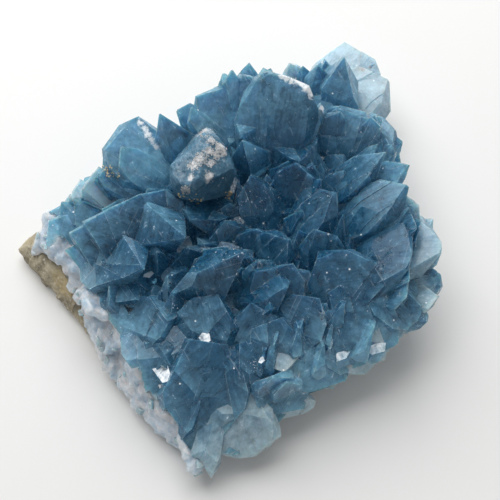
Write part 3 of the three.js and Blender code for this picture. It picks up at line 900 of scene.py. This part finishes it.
largeCrystals = [
    ("fan", (-21, 11, 14), (-37, 18.8, 33), 20.5, 5, 0, 5),
    ("spear", (-15, 15, 14), (-23.5, 22, 36), 11, 8, 30, 1),
    ("wedge", (-12.5, 21, 14), (-16.5, 26, 30), 9, 3, 0, 2),
    ("fan", (-2, 23, 15), (-12, 29.5, 37.5), 18, 5, -10, 5),
    ("crest", (4, 17, 14), (10.5, 32.2, 39.8), 21, 6, 0, 3),
    ("blade", (3, 29, 14), (5.5, 37, 36.5), 13, 4, -12, 2),
    ("blade", (1, 18, 16), (3.5, 34, 39.5), 14, 6, 0, 2),
    ("blade", (11, 26, 16), (13, 10, 28), 16, 6, 0, 3),
    ("blade", (1, 31, 18), (-2, 17, 31), 10, 5, 0, 3),
    ("spear", (24.5, 36, 12), (26, 44, 31), 13, 9, 40, 1),
    ("blade", (21, 40, 12), (18.5, 45.5, 27), 10, 4, 0, 3),
    ("spear", (3, 17, 15), (-2, 17, 31), 12, 6, 0, 1),
    ("chisel", (-29, -12, 12), (-36, -1, 30), 20, 8, 0, 3),
    ("fan", (-21, -8, 12), (-27, 4, 28), 18, 5, 0, 4),
    ("wedge", (-34, 8, 14), (-39, 11, 28), 9, 5, 0, 2),
    ("blade", (-44, -7, 10), (-24.5, -20.5, 30), 19, 7, 20, 3),
    ("spear", (-33, 2, 14), (-16, -12.5, 33), 16, 9, -10, 1),
    ("spear", (-23.5, -12.5, 14), (-23.5, -13.5, 27), 6, 5, 0, 1),
    ("crest", (-31, -36, 9), (-25.5, -22, 24), 20, 5, -18, 3),
    ("crest", (-21, -44, 8), (-25, -27, 21.5), 20, 6, 0, 3),
    ("spear", (-18, -22, 14), (-1, -17.5, 36), 14, 8, 10, 1),
    ("blade", (-14, -36, 12), (-6.5, -25, 27), 18, 5, 0, 4),
    ("blade", (2, -38, 12), (1, -26, 26), 14, 5, 0, 2),
    ("crest", (-2, -46, 9), (-8.5, -33, 22.5), 17, 5, 0, 3),
    ("wedge", (-19, -44, 9), (-17, -36, 20), 9, 5, 0, 1),
    ("blade", (-10, -34, 18), (-14.5, -61, 6), 24, 6, -8, 2),
    ("wedge", (-14, -46, 12), (-20, -56, 7), 13, 6, 10, 2),
    ("blade", (-5, -36, 16), (-7, -57, 10), 15, 6, 14, 2),
    ("blade", (4, -30, 19), (10, -45, 14), 16, 6, 10, 2),
    ("blade", (-1, -34, 18), (4, -51, 11), 14, 5, -10, 2),
    ("blade", (9, -34, 13), (17, -24, 25), 17, 5, 0, 3),
    ("wedge", (20, -26, 19), (25, -40, 13), 15, 6, 8, 2),
    ("blade", (2, -36, 16), (14.5, -50, 10), 21, 6, 8, 2),
    ("blade", (0, -40, 14), (5, -55, 8), 17, 5, -6, 2),
    ("fan", (12.5, -30, 17), (20, -45.5, 11), 20, 6, -6, 3),
    ("fan", (27, -17, 20), (42.5, -28, 17), 18, 5, -8, 2),
    ("fan", (23, -20, 20), (34, -36.5, 15), 19, 6, 10, 3),
    ("fan", (28, -12, 14), (40, -14.5, 31.5), 24, 4, 0, 5),
    ("blade", (26, -3, 15), (41.5, 3, 33), 15, 5, -15, 3),
    ("blade", (29, 9, 14), (42, 10, 31), 11, 3, 0, 2),
    ("blade", (21, 6, 14), (36, 14, 31), 13, 4, -20, 3),
    ("fan", (25, 20, 14), (27.5, 28.5, 30), 16, 5, 0, 4),
    ("fan", (30, 18, 14), (37.5, 23.5, 27), 14, 4, 0, 4),
    ("crest", (20, -27, 12), (27, -14.5, 30), 20, 5, 0, 3),
    ("blade", (33, -25, 12), (36, -13, 28), 14, 5, 0, 2),
    ("fan", (6, -28, 13), (8, -16, 27), 16, 4, 0, 3),
    ("blade", (-9, 6, 12), (-16, -5, 27), 14, 5, 0, 3),
    ("blade", (11.5, 5, 13), (13, 11, 31), 15, 4, 0, 3),
    ("blade", (4, -2, 12), (0, 10, 28), 13, 4, 0, 3),
    ("blade", (3, -11, 12), (10, -9.5, 27), 14, 4, 25, 3),
    ("blade", (0, -20, 12), (9, -24, 28), 15, 5, 0, 3),
    ("blade", (12, -4, 14), (22, 2.5, 31), 16, 5, -20, 3),
    ("blade", (20, -14, 13), (16, -7, 29), 13, 4, 0, 3),
]

# Paler and clearer ones, along the outer edge

paleCrystals = [
    ("wedge", (-10, 22, 14), (-12, 27, 29), 8, 3, 0, 2),
    ("blade", (15, 43, 12), (11, 48, 24), 10, 2.5, 0, 2),
    ("blade", (27, 37, 9), (28, 63, 15.5), 24, 7, 0, 1),
    ("blade", (27, 40, 9), (41.5, 47, 17), 19, 7, 0, 2),
    ("blade", (27, 40, 8), (36, 54, 14), 16, 6, 0, 1),
    ("chisel", (-42, 6, 10), (-48, 9, 20), 8, 6, 0, 3),
    ("chisel", (-37, 6, 10), (-43, 9, 26), 9, 6, 0, 3),
    ("wedge", (-9, -52, 9), (-12, -65.5, 4.5), 9, 5, 0, 2),
    ("blade", (-37, -42, 5), (-33, -31, 16), 13, 5, 0, 3),
    ("blade", (-28, -51, 5), (-25, -41, 14), 13, 5, 0, 3),
    ("fan", (-4, -42, 14), (-1.5, -63, 6), 20, 5, 8, 3),
    ("wedge", (11, -34, 13), (6.5, -42, 22), 8, 5, 0, 2),
    ("wedge", (30, -29, 16), (32, -38, 13), 9, 5, 12, 2),
    ("wedge", (40, -20, 12), (46.5, -25, 21), 8, 4, 0, 2),
    ("blade", (18, -36, 12), (21, -44, 9), 14, 4, 6, 3),
    ("blade", (27, -34, 13), (30, -40.5, 11), 14, 4, -6, 3),
    ("blade", (36, -28, 14), (38.8, -32, 14), 12, 4, 0, 3),
    ("fan", (9, -44, 11), (11, -51.5, 8), 14, 4, 0, 3),
    ("wedge", (37, -5, 15), (42, 0, 30), 9, 3, 0, 2),
    ("fan", (32, -11, 15), (48.5, -9.5, 27), 17, 4, 0, 3),
]

# Low crystals that fill the bowl between the large ones

fill = {
    "spacing": 7.4,
    "rowStep": 0.87,  # of the spacing
    "jitter": 0.3,
    "rows": 12,
    "upright": (2, -38),  # the low crystals stand up here, and lean away from it elsewhere
    "lean": (0.95, 0.62),  # degrees for each mm to the side, and to the back
    # each draws a turn from -0.5 to 0.5, which goes into its direction, its lean and its twist
    "turnShare": 0.7,
    "leanShare": 20,
    "twistShare": 40,
    "foot": 12,
    "long": (10.5, 15),
    "wide": (9, 16),
    "thick": (2.4, 4.0),
    "margin": 5,
    "clear": 2.8,  # from the middle line of a large crystal
    "bare": [(-12, -50, 11), (-1, -52, 8), (31, 46, 15), (-30, 13, 7), (-12, 9, 9),
             (-25, -34, 9), (-9, -32, 9), (-6, -40, 8), (9, 23, 8), (25, -21, 7), (-31, -6, 8),
             (45, -10, 9)],  # plan x, y, radius
    "forms": ("blade", "blade", "blade", "fan", "spear", "wedge"),
}


def clearOfLarge(tip, gap):
    point = Vector(tip)
    for _, foot, end, *_ in largeCrystals + paleCrystals:
        start, along = Vector(foot), Vector(end) - Vector(foot)
        part = partAlong(point, start, along)
        if (point - start - along * part).length < gap:
            return False
    return True


def fillerRows(surface):
    rng = random.Random(seeds["fill"])
    rows = []
    for row in range(-fill["rows"], fill["rows"] + 1):
        for column in range(-fill["rows"], fill["rows"] + 1):
            x = fill["spacing"] * (column + 0.5 * (row % 2) + eitherWay(rng, fill["jitter"]))
            y = fill["spacing"] * (fill["rowStep"] * row + eitherWay(rng, fill["jitter"]))
            turn, form = eitherWay(rng, 0.5), rng.choice(fill["forms"])
            long, wide, thick = (rng.uniform(*fill[name]) for name in ("long", "wide", "thick"))
            if any(math.hypot(x - bx, y - by) < radius for bx, by, radius in fill["bare"]):
                continue
            if insideBroken(x, y) < 1.0 or edgeDistance(surface, x, y, fill["margin"]) < fill["margin"]:
                continue
            leanX = (x - fill["upright"][0]) * fill["lean"][0]
            leanY = (y - fill["upright"][1]) * fill["lean"][1]
            azimuth = math.atan2(leanY, leanX) + turn * fill["turnShare"]
            lean = math.radians(math.hypot(leanX, leanY) + fill["leanShare"] * turn)
            tip = (
                x + long * math.sin(lean) * math.cos(azimuth),
                y + long * math.sin(lean) * math.sin(azimuth),
                fill["foot"] + long * math.cos(lean))
            if clearOfLarge(tip, fill["clear"]):
                count = 1 if form == "spear" else 2
                twist = fill["twistShare"] * turn
                rows.append((form, (x, y, fill["foot"]), tip, wide, thick, twist, count))
    return rows


def growAll(leaves, nickCutter, rows, rng):
    grown, nicks = [], []
    for row in rows:
        pieces, place = growCrystal(leaves, rng, *row)
        grown += pieces
        if row[0] in nick["forms"] and row[3] >= nick["leastWide"]:
            nicks += nickRim(nickCutter, rng, row[0], place)
    return grown, nicks


def boxOf(piece):
    corners = [vertex.co for vertex in piece.data.vertices]
    return [[pick(corner[axis] for corner in corners) for axis in range(3)] for pick in (min, max)]


def boxesApart(one, other):
    return any(one[0][axis] > other[1][axis] or one[1][axis] < other[0][axis] for axis in range(3))


def growTogether(host, parts, operation="UNION"):
    # parts that don't touch each other are joined first, so that each step is with clean shells
    waiting = [(part, boxOf(part)) for part in parts]
    while waiting:
        batch, later = [], []
        for part, box in waiting:
            free = all(boxesApart(box, other) for _, other in batch)
            (batch if free else later).append((part, box))
        joined = joinPieces([part for part, _ in batch])
        solidWith(host, joined, operation)
        remove(joined)
        waiting = later


# Small facets, sunk into the crystals that they are seen on, and painted white as highlights where they face
# the light's reflection

glint = {
    "way": (-0.115, 0.09, 0.989),  # they face the light's reflection, in the photo plan
    "facing": 0.985,  # cosine of how far a bright face may turn from it
    "masters": 3,
    "corners": 5,
    "jitter": 0.3,
    "bevel": (0.0, 0.4),
    "cutAt": (0.34, 0.5),
    "thick": 3.0,  # mm
    "proud": 1.0,
    # x and y in pixels, width and length in mm, turn in degrees
    "facets": [
        (206, 340, 3.8, 3.8, 25), (162, 372, 4.4, 12.0, 26), (149, 276, 3.6, 3.0, -20),
        (343, 356, 5.2, 4.0, 10), (375, 350, 6.0, 4.6, 25), (262, 362, 1.6, 2.6, -30)],
}


def makePlate(rng):
    # an irregular flat piece with a bevelled rim
    piece = newShape("plate", bpy.ops.mesh.primitive_cube_add, size=1.0)
    cuts = []
    for i in range(glint["corners"]):
        angle = math.tau * (i + eitherWay(rng, glint["jitter"])) / glint["corners"]
        outward = Vector((math.cos(angle), math.sin(angle), rng.uniform(*glint["bevel"])))
        place = Vector((math.cos(angle), math.sin(angle), 0.5)) * rng.uniform(*glint["cutAt"])
        cuts.append((place, outward))
    return cutPiece(piece, cuts)


def placePlates(plates, surfaces, rng):
    pieces, spots = [], []
    turnUp = upOn(planWay(*glint["way"]))
    for x, y, wide, long, turn in glint["facets"]:
        hit = seenAt(surfaces, x, y)
        if hit:
            top = hit[0] + turnUp.to_3x3() @ Vector((0, 0, glint["proud"] * mm))
            size = Matrix.Diagonal((wide * mm, long * mm, glint["thick"] * mm, 1.0))
            shape = turnUp @ Matrix.Rotation(math.radians(turn) + photoPlan["turn"], 4, "Z")
            shape = shape @ size @ Matrix.Translation((0, 0, -0.5))
            pieces.append(copyTo(rng.choice(plates), Matrix.Translation(top) @ shape))
            spots.append((top, max(wide, long) * 0.6 * mm))
    return pieces, spots


# Each flat face gets growth lines that run away from the hub, and a tone of its own, partly painted light
# and shade

# Paleness: partly the crystals' own paler rims and tips, partly painted shade that deepens the bowl's middle
# and painted light that pales the rim and the tips, where light comes through
palenessAndShade = {
    "hub": (2, -5, -22),  # the crystals point away from here
    "centre": (6, -4),
    "near": 14.0,  # mm from the centre: deepest blue inside, palest outside
    "far": 54.0,
    "radial": 0.7,
    "alongFace": 0.38,
    "leastLong": 5.0,
    # plan x, y, radius and amount of paler or deeper places: some the crystals' own, some painted light on
    # shaded faces and painted shade on sheen
    "spots": [
        (-31, 15, 12, 0.65), (-9, 27, 13, 1.1), (-32, -18, 14, -0.4), (-36, 2, 10, 0.05), (8, 26, 9, 0.12),
        (30, 52, 16, -0.3), (2, -58, 10, 0.2), (18, -46, 12, 1.0), (32, -38, 11, 0.75), (42, 10, 8, 0.75),
        (6, 37, 7, 0.35), (-13, -50, 17, -0.6), (-6, -38, 11, -0.25), (-22, -32, 12, -0.15),
        (10, 30, 12, 0.12), (43, -14, 8, -0.05), (-48, 4, 12, 0.3), (-5, -22, 12, -0.1),
        (31, -19, 10, -0.15), (37, -14, 9, -0.25), (46, -9, 10, -0.4)],
}


def paleAndShadeAt(x, y):
    away = math.hypot(x - palenessAndShade["centre"][0], y - palenessAndShade["centre"][1])
    outer = max(0.0, min(1.0, (away - palenessAndShade["near"]) / (palenessAndShade["far"] - palenessAndShade["near"])))
    spots = sum(amount * nearness(x, y, *spot) for *spot, amount in palenessAndShade["spots"])
    return palenessAndShade["radial"] * outer + spots


def flatFacets(mesh):
    # polygons that meet and lie in one plane, as lists of their indices
    edgeFaces = {}
    for face in mesh.polygons:
        for key in face.edge_keys:
            edgeFaces.setdefault(key, []).append(face.index)
    taken = set()
    facets = []
    for seed in mesh.polygons:
        if seed.index in taken:
            continue
        members = [seed.index]
        taken.add(seed.index)
        for index in members:
            for key in mesh.polygons[index].edge_keys:
                for other in edgeFaces[key]:
                    if other not in taken and mesh.polygons[other].normal.dot(seed.normal) > 0.9995:
                        taken.add(other)
                        members.append(other)
        facets.append(members)
    return facets


def markFacets(piece, bright=()):
    hub, brightWay = fromPlan(*palenessAndShade["hub"]), planWay(*glint["way"])
    mesh = piece.data
    facets = flatFacets(mesh)
    mesh.uv_layers.new(name="grain")
    mesh.color_attributes.new(name="tone", type="FLOAT_COLOR", domain="CORNER")
    grain = mesh.uv_layers["grain"]
    tone = mesh.color_attributes["tone"]
    rng = random.Random(seeds["facets"])
    for members in facets:
        faces = [mesh.polygons[i] for i in members]
        normal = faces[0].normal
        area = sum(face.area for face in faces)
        centre = sum((face.center * face.area for face in faces), Vector()) / max(area, 1e-12)
        growth = (centre - hub) - normal * (centre - hub).dot(normal)
        if growth.length < 1e-6:
            growth = normal.orthogonal()
        growth.normalize()
        side = normal.cross(growth)
        loops = [loop for face in faces for loop in face.loop_indices]
        corners = [mesh.vertices[mesh.loops[loop].vertex_index].co for loop in loops]
        along = [corner.dot(growth) for corner in corners]
        low, high = min(along), max(along)
        chance = rng.random()
        near = any((centre - spot).length < radius for spot, radius in bright)
        # painted highlight: a plate's face that turns to the light's reflection is painted white
        white = 1.0 if near and normal.dot(brightWay) > glint["facing"] else 0.0
        for loop, corner, value in zip(loops, corners, along):
            x, y, _ = toPlan(corner)
            rise = (value - low) / max(high - low, palenessAndShade["leastLong"] * mm)
            # paleness, partly painted light and shade, rising towards each face's far end
            pale = paleAndShadeAt(x, y) + palenessAndShade["alongFace"] * rise * rise
            grain.data[loop].uv = (corner.dot(side) + chance, value + chance)
            tone.data[loop].color = (pale, chance, white, 1.0)


# Knob: a rounded broken lump above its neighbours, glassy with white granular patches

knobShape = {
    "centre": (-12.2, 11.9, 28.4),
    "radii": (7.6, 11.5, 10.0),
    "taper": 0.6,
    "facets": 15,
    "facetAt": (0.7, 0.92),
    "voxel": 0.45,
    "lumps": [(3.0, 0.9), (0.9, 0.35)],  # size and height in mm
    "crustFlat": 0.7,
    "crustSink": 0.2,
    "crustFade": 2.3,  # pixels of a crusted place for each mm of its white
    # crusted places: x, y, radius in pixels, how many grains and their size in mm
    "crust": [
        (205, 130, 8, 60, (0.15, 0.45)), (221, 147, 6, 40, (0.15, 0.45)), (216, 155, 5, 26, (0.15, 0.4)),
        (200, 159, 7, 60, (0.15, 0.45)), (194, 165, 6, 40, (0.15, 0.45)), (223, 153, 4, 14, (0.15, 0.4)),
        (186, 190, 5, 40, (0.2, 0.5)), (191, 177, 4, 10, (0.15, 0.35)), (209, 177, 6, 20, (0.15, 0.35)),
        (211, 163, 5, 16, (0.15, 0.35)), (212, 140, 6, 20, (0.15, 0.4)), (208, 151, 6, 20, (0.15, 0.4))],
}


def makeKnob():
    rng = random.Random(seeds["knob"])
    knob = newShape("frosted_knob", bpy.ops.mesh.primitive_ico_sphere_add, subdivisions=4, radius=1.0)
    cuts = []
    for _ in range(knobShape["facets"]):
        outward = randomWay(rng)
        cuts.append((outward * rng.uniform(*knobShape["facetAt"]), outward))
    cutPiece(knob, cuts)
    for vertex in knob.data.vertices:
        narrow = 1 - knobShape["taper"] * vertex.co.y
        vertex.co = fromPlan(*(middle + radius * value * share for middle, radius, value, share in zip(
            knobShape["centre"], knobShape["radii"], vertex.co, (narrow, 1, narrow))))
    remesh(knob, knobShape["voxel"])
    for size, height in knobShape["lumps"]:
        displace(knob, size, height)
    return knob


# Rock: its solid with a rough, weathered surface

rockShape = {
    "voxel": 0.8,
    "rough": [(7.0, 1.4, "CLOUDS"), (2.2, 0.8, "CLOUDS"), (1.1, 0.5, "VORONOI")],  # size and height in mm
}


def makeRock():
    rock = mergedCopy("host_rock", "rock_rind")
    remesh(rock, rockShape["voxel"])
    for size, height, kind in rockShape["rough"]:
        displace(rock, size, height, kind)
    for vertex in rock.data.vertices:
        vertex.co.z = max(vertex.co.z, 0.0)
    return rock


# Sugar of small crystals: on the granular seam, the knob and the broken edges, and as single grains, which
# are partly frosting and partly painted glints.
# Places in the photo's frame are x, y and radius in pixels, then how many and their size in mm.

crumb = {"masters": 8, "cuts": 5, "cutAt": (0.28, 0.46), "wide": (0.7, 1.35), "deep": (0.7, 1.2)}
seamSugar = {
    "count": 900,
    "size": (0.8, 2.4),
    "sink": 0.75,  # of their size
    "lowest": 2.0,
    "inside": 1.0,  # how far in from the broken edge it goes
    "voxel": 0.5,
    "keep": 0.16,  # of the faces, once sugar and seam are one
    "apronSink": 0.35,
    # more of it hangs over the rock
    "apron": [
        (64, 258, 5, 10, (1.5, 2.6)), (71, 270, 5, 12, (1.5, 2.8)), (77, 283, 5, 12, (1.8, 3.0)),
        (84, 297, 5, 14, (1.8, 3.2)), (90, 311, 5, 14, (1.8, 3.2)), (96, 325, 5, 14, (1.8, 3.2)),
        (102, 338, 5, 14, (1.8, 3.2)), (108, 351, 5, 12, (1.8, 3.0)), (114, 364, 5, 10, (1.5, 2.8))],
}
clearOnes = {"count": 70, "size": (1.0, 2.0), "sink": 0.6}
# tiny white grains: partly frosting, partly painted glints that stand in for sparkles
grains = {
    "count": 130,  # all over the crystals
    "size": (0.07, 0.17),
    "over": (60, 45, 25),  # half length, half width and height in mm that they are aimed at
    "from": 150,  # mm away
    "leastDown": 0.25,
    "lowest": 8.0,
    "places": [
        (251, 366, 8, 14, (0.1, 0.24)), (238, 252, 6, 12, (0.1, 0.24)), (226, 256, 6, 9, (0.1, 0.24)),
        (178, 306, 6, 6, (0.1, 0.24)), (375, 96, 14, 12, (0.1, 0.2)), (262, 190, 14, 12, (0.08, 0.18)),
        (280, 215, 18, 16, (0.08, 0.18)), (236, 210, 12, 12, (0.08, 0.18)),
        (320, 190, 18, 12, (0.08, 0.18))],
}
goldGrains = [
    (108, 171, 6, 18, (0.2, 0.5)), (116, 176, 4, 6, (0.2, 0.45)), (103, 166, 3, 5, (0.2, 0.45)),
    (228, 195, 4, 14, (0.2, 0.5)), (195, 199, 6, 10, (0.2, 0.5)), (181, 196, 4, 6, (0.2, 0.5))]
frosting = {
    "fade": 3.7,  # pixels of a frosted place for each mm of its white
    # x, y and radius in pixels, along two crests
    "places": [
        (282, 76, 7), (287, 78, 8), (292, 80, 8), (297, 82, 9), (302, 84, 9), (306, 87, 9), (310, 90, 9),
        (312, 94, 8), (322, 108, 7), (322, 62, 5),
        (140, 122, 7), (144, 128, 8), (148, 134, 8), (152, 140, 8), (156, 147, 7)],
}


def makeCrumb(rng):
    piece = newShape("crumb", bpy.ops.mesh.primitive_cube_add, size=1.0)
    cuts = []
    for _ in range(crumb["cuts"]):
        outward = randomWay(rng)
        cuts.append((outward * rng.uniform(*crumb["cutAt"]), outward))
    return cutPiece(piece, cuts)


def seenAt(surfaces, x, y):
    # where the photo's camera meets a surface at a pixel
    eye, aim = fromPlan(*stage["lookFrom"]), fromPlan(0, 0)
    forward = (aim - eye).normalized()
    right = forward.cross(Vector((0, 0, 1))).normalized()
    up = right.cross(forward)
    middle = stage["picture"] / 2
    away = stage["lens"] / stage["sensor"] * stage["picture"]
    way = forward * away + right * (x - middle) + up * (middle - y)
    hits = [surface.ray_cast(eye, way.normalized()) for surface in surfaces]
    hits = [hit for hit in hits if hit[0] is not None]
    return min(hits, key=lambda hit: hit[3])[:2] if hits else None


def spotsSeen(surfaces, places, rng):
    spots = []
    for x, y, radius, count, sizes in places:
        for _ in range(count):
            angle, away = rng.uniform(0, math.tau), radius * math.sqrt(rng.random())
            hit = seenAt(surfaces, x + away * math.cos(angle), y + away * math.sin(angle))
            if hit:
                spots.append((*hit, rng.uniform(*sizes)))
    return spots


def spotsOn(piece, rng, count, sizes, wanted):
    faces = [face for face in piece.data.polygons if wanted(face)]
    chosen = rng.choices(faces, [face.area for face in faces], k=count)
    return [(face.center.copy(), face.normal.copy(), sizes[0] + (sizes[1] - sizes[0]) * rng.random() ** 2)
            for face in chosen]


def spotsAllRound(surface, rng):
    wide, deep, high = grains["over"]
    spots = []
    while len(spots) < grains["count"]:
        way = randomWay(rng)
        way.z = -abs(way.z) - grains["leastDown"]
        way.normalize()
        aim = Vector((eitherWay(rng, wide), eitherWay(rng, deep), high)) * mm
        place, normal, _, _ = surface.ray_cast(aim - way * (grains["from"] * mm), way)
        if place is not None and place.z > grains["lowest"] * mm:
            spots.append((place, normal, rng.uniform(*grains["size"])))
    return spots


def onBrokenEdge(face):
    x, y, z = toPlan(face.center)
    return z > seamSugar["lowest"] and insideBroken(x, y) < seamSugar["inside"]


def whiteSpots(surfaces, places, fade):
    # middles and radii of frosted places
    hits = [(seenAt(surfaces, x, y), radius) for x, y, radius in places]
    return [(hit[0], radius / fade * mm) for hit, radius in hits if hit]


def strew(name, spots, masters, rng, flat=0.8, sink=0.15):
    # small pieces stand on a surface, each turned and stretched in its own way
    pieces = []
    for place, normal, size in spots:
        size *= mm
        turn = upOn(normal) @ Matrix.Rotation(rng.uniform(0, math.tau), 4, "Z")
        wide, deep = size * rng.uniform(*crumb["wide"]), size * rng.uniform(*crumb["deep"])
        shape = Matrix.Diagonal((wide, deep, size * flat, 1.0))
        stand = Matrix.Translation(place + normal * size * (0.5 * flat - sink))
        pieces.append(copyTo(rng.choice(masters), stand @ turn @ shape))
    return settle(joinPieces(pieces), name)


# Floor, light and camera

stage = {
    "floorSize": 4.0,
    "worldGrey": 0.35,
    "keyPlace": (-150, 450, 600),  # photo plan, mm
    "keySize": 0.85,
    "keyPower": 7.9,
    "clipStart": 0.01,
    "lens": 65.5,
    "sensor": 36,
    "picture": 500,  # pixels
    "lookFrom": (0, -112.8, 234.3),
}


def aimed(thing, place):
    # from a plan place at the origin
    thing.location = fromPlan(*place)
    thing.rotation_euler = (fromPlan(0, 0) - thing.location).to_track_quat("-Z", "Y").to_euler()
    scene.collection.objects.link(thing)
    return thing


def makeStage():
    floor = newShape("floor", bpy.ops.mesh.primitive_plane_add, size=stage["floorSize"])
    floor.data.materials.append(floorMaterial())
    world = bpy.data.worlds.new("soft_room")
    world.use_nodes = True
    world.node_tree.nodes["Background"].inputs["Color"].default_value = (1, 1, 1, 1)
    world.node_tree.nodes["Background"].inputs["Strength"].default_value = stage["worldGrey"]
    scene.world = world
    lamp = bpy.data.lights.new("window", "AREA")
    lamp.size = stage["keySize"]
    lamp.energy = stage["keyPower"]
    aimed(bpy.data.objects.new("window", lamp), stage["keyPlace"])
    view = bpy.data.cameras.new("camera")
    view.lens = stage["lens"]
    view.clip_start = stage["clipStart"]
    scene.camera = aimed(bpy.data.objects.new("camera", view), stage["lookFrom"])
    scene.view_settings.view_transform = "Standard"


# Making

crystals = mergedCopy("celestite_crystals", "celestite_blades")
seam = mergedCopy("celestite_crystals", "granular_seam")
cadSurface = surfaceOf(crystals)
bedHeight, baseHeight = makeBedHeights(cadSurface)
slab = makeSlab("bed_slab", bedHeight, bed["cells"])
solidWith(seam, slab, "INTERSECT")
topSlab = makeSlab("top_slab", baseHeight, bed["baseCells"])
solidWith(crystals, topSlab, "INTERSECT")
print("parted", triangleCount(crystals), triangleCount(seam))

leafRng = random.Random(seeds["leaves"])
leaves = {form: [makeLeaf(form, leafRng) for _ in range(kind["count"])] for form, kind in leafKinds.items()}
nickCutter = makeNick(leafRng)
print("leaves", {form: [triangleCount(leaf) for leaf in kinds] for form, kinds in leaves.items()})

rows = largeCrystals + fillerRows(cadSurface)
grown, nicks = growAll(leaves, nickCutter, rows, random.Random(seeds["large"]))
growTogether(crystals, grown)
growTogether(crystals, nicks, "DIFFERENCE")
print("crystals", len(rows), "leaves", len(grown), "nicks", len(nicks), triangleCount(crystals))

grown, nicks = growAll(leaves, nickCutter, paleCrystals, random.Random(seeds["pale"]))
pale = settle(grown.pop(0), "pale_blades")
growTogether(pale, grown)
growTogether(pale, nicks, "DIFFERENCE")
remove(nickCutter, *(leaf for kinds in leaves.values() for leaf in kinds))
lowSlab = makeSlab("low_slab", lambda x, y: bedHeight(x, y) - bed["overlap"], bed["cells"])
for piece in (crystals, pale):
    solidWith(piece, lowSlab, "DIFFERENCE")
    dropBits(piece, bed["leastPart"])
remove(slab, lowSlab, topSlab)
print("pale", len(paleCrystals), triangleCount(pale), "cut at the bed", triangleCount(crystals))

plateMasters = [makePlate(leafRng) for _ in range(glint["masters"])]
plates, paintedGlintSpots = placePlates(plateMasters, [surfaceOf(crystals), surfaceOf(pale)], leafRng)
growTogether(crystals, plates)
remove(*plateMasters)
for piece in (crystals, pale):
    keepInBox(piece)
    markFacets(piece, paintedGlintSpots)
print("plates", len(plates), triangleCount(crystals))

knob = makeKnob()
keepInBox(knob)
markFacets(knob)
rock = makeRock()
keepInBox(rock)
print("knob", triangleCount(knob), "rock", triangleCount(rock))

crumbRng = random.Random(seeds["crumbs"])
crumbs = [makeCrumb(crumbRng) for _ in range(crumb["masters"])]
remesh(seam, bed["voxel"])
for size, height, kind in bed["rough"]:
    displace(seam, size, height, kind)
spots = spotsOn(seam, crumbRng, seamSugar["count"], seamSugar["size"], onBrokenEdge)
sugar = strew("seam_sugar", spots, crumbs, crumbRng, 1.0, seamSugar["sink"])
spots = spotsSeen([surfaceOf(seam), surfaceOf(rock)], seamSugar["apron"], crumbRng)
apron = strew("seam_apron", spots, crumbs, crumbRng, 1.0, seamSugar["apronSink"])
seam = settle(joinPieces([sugar, apron, seam]), "granular_seam")
remesh(seam, seamSugar["voxel"])
applyModifier(seam, "DECIMATE", ratio=seamSugar["keep"])
keepInBox(seam)
print("seam", triangleCount(seam))

spots = spotsOn(seam, crumbRng, clearOnes["count"], clearOnes["size"], onBrokenEdge)
seamCrystals = strew("seam_crystals", spots, crumbs, crumbRng, 1.0, clearOnes["sink"])
markFacets(seamCrystals)
seen = [surfaceOf(piece) for piece in (crystals, pale, knob, seam)]
knobSeen = [seen[2]]
spots = spotsSeen(knobSeen, knobShape["crust"], crumbRng)
crust = strew("knob_crust", spots, crumbs, crumbRng, knobShape["crustFlat"], knobShape["crustSink"])
# tiny white grains over the crystals: partly frosting, partly painted glints
spots = spotsSeen(seen, grains["places"], crumbRng) + spotsAllRound(seen[0], crumbRng)
frostAndGlints = strew("frost_and_glint_grains", spots, crumbs, crumbRng)
gold = strew("ochre_specks", spotsSeen(seen, goldGrains, crumbRng), crumbs, crumbRng)
remove(*crumbs)
for piece in (seamCrystals, crust, frostAndGlints, gold):
    keepInBox(piece)
    print(piece.name, triangleCount(piece))

frosted = whiteSpots(seen, frosting["places"], frosting["fade"])
crusted = whiteSpots(knobSeen, [place[:3] for place in knobShape["crust"]], knobShape["crustFade"])
blueCrystal = crystalMaterial("celestite_crystal", crystalLook, frosted)
paleCrystal = crystalMaterial("pale_celestite", paleLook, frosted)
for piece, material, slot, node in (
        (seamCrystals, paleCrystal, "celestite", "celestite_crystals"),
        (crust, crustMaterial(), "celestite", "celestite_crystals"),
        (frostAndGlints, frostAndGlintMaterial(), "celestite", "celestite_crystals"),
        (gold, goldMaterial(), "host_rock", "celestite_crystals"),
        (crystals, blueCrystal, "celestite", "celestite_crystals"),
        (pale, paleCrystal, "celestite", "celestite_crystals"),
        (knob, crystalMaterial("frosted_celestite", knobLook, crusted), "celestite", "celestite_crystals"),
        (seam, seamMaterial(), "celestite", "celestite_crystals"),
        (rock, rockMaterial(), "host_rock", "host_rock")):
    piece.data.materials.clear()
    piece.data.materials.append(material)
    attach(piece, "root")
    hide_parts(node)

makeStage()
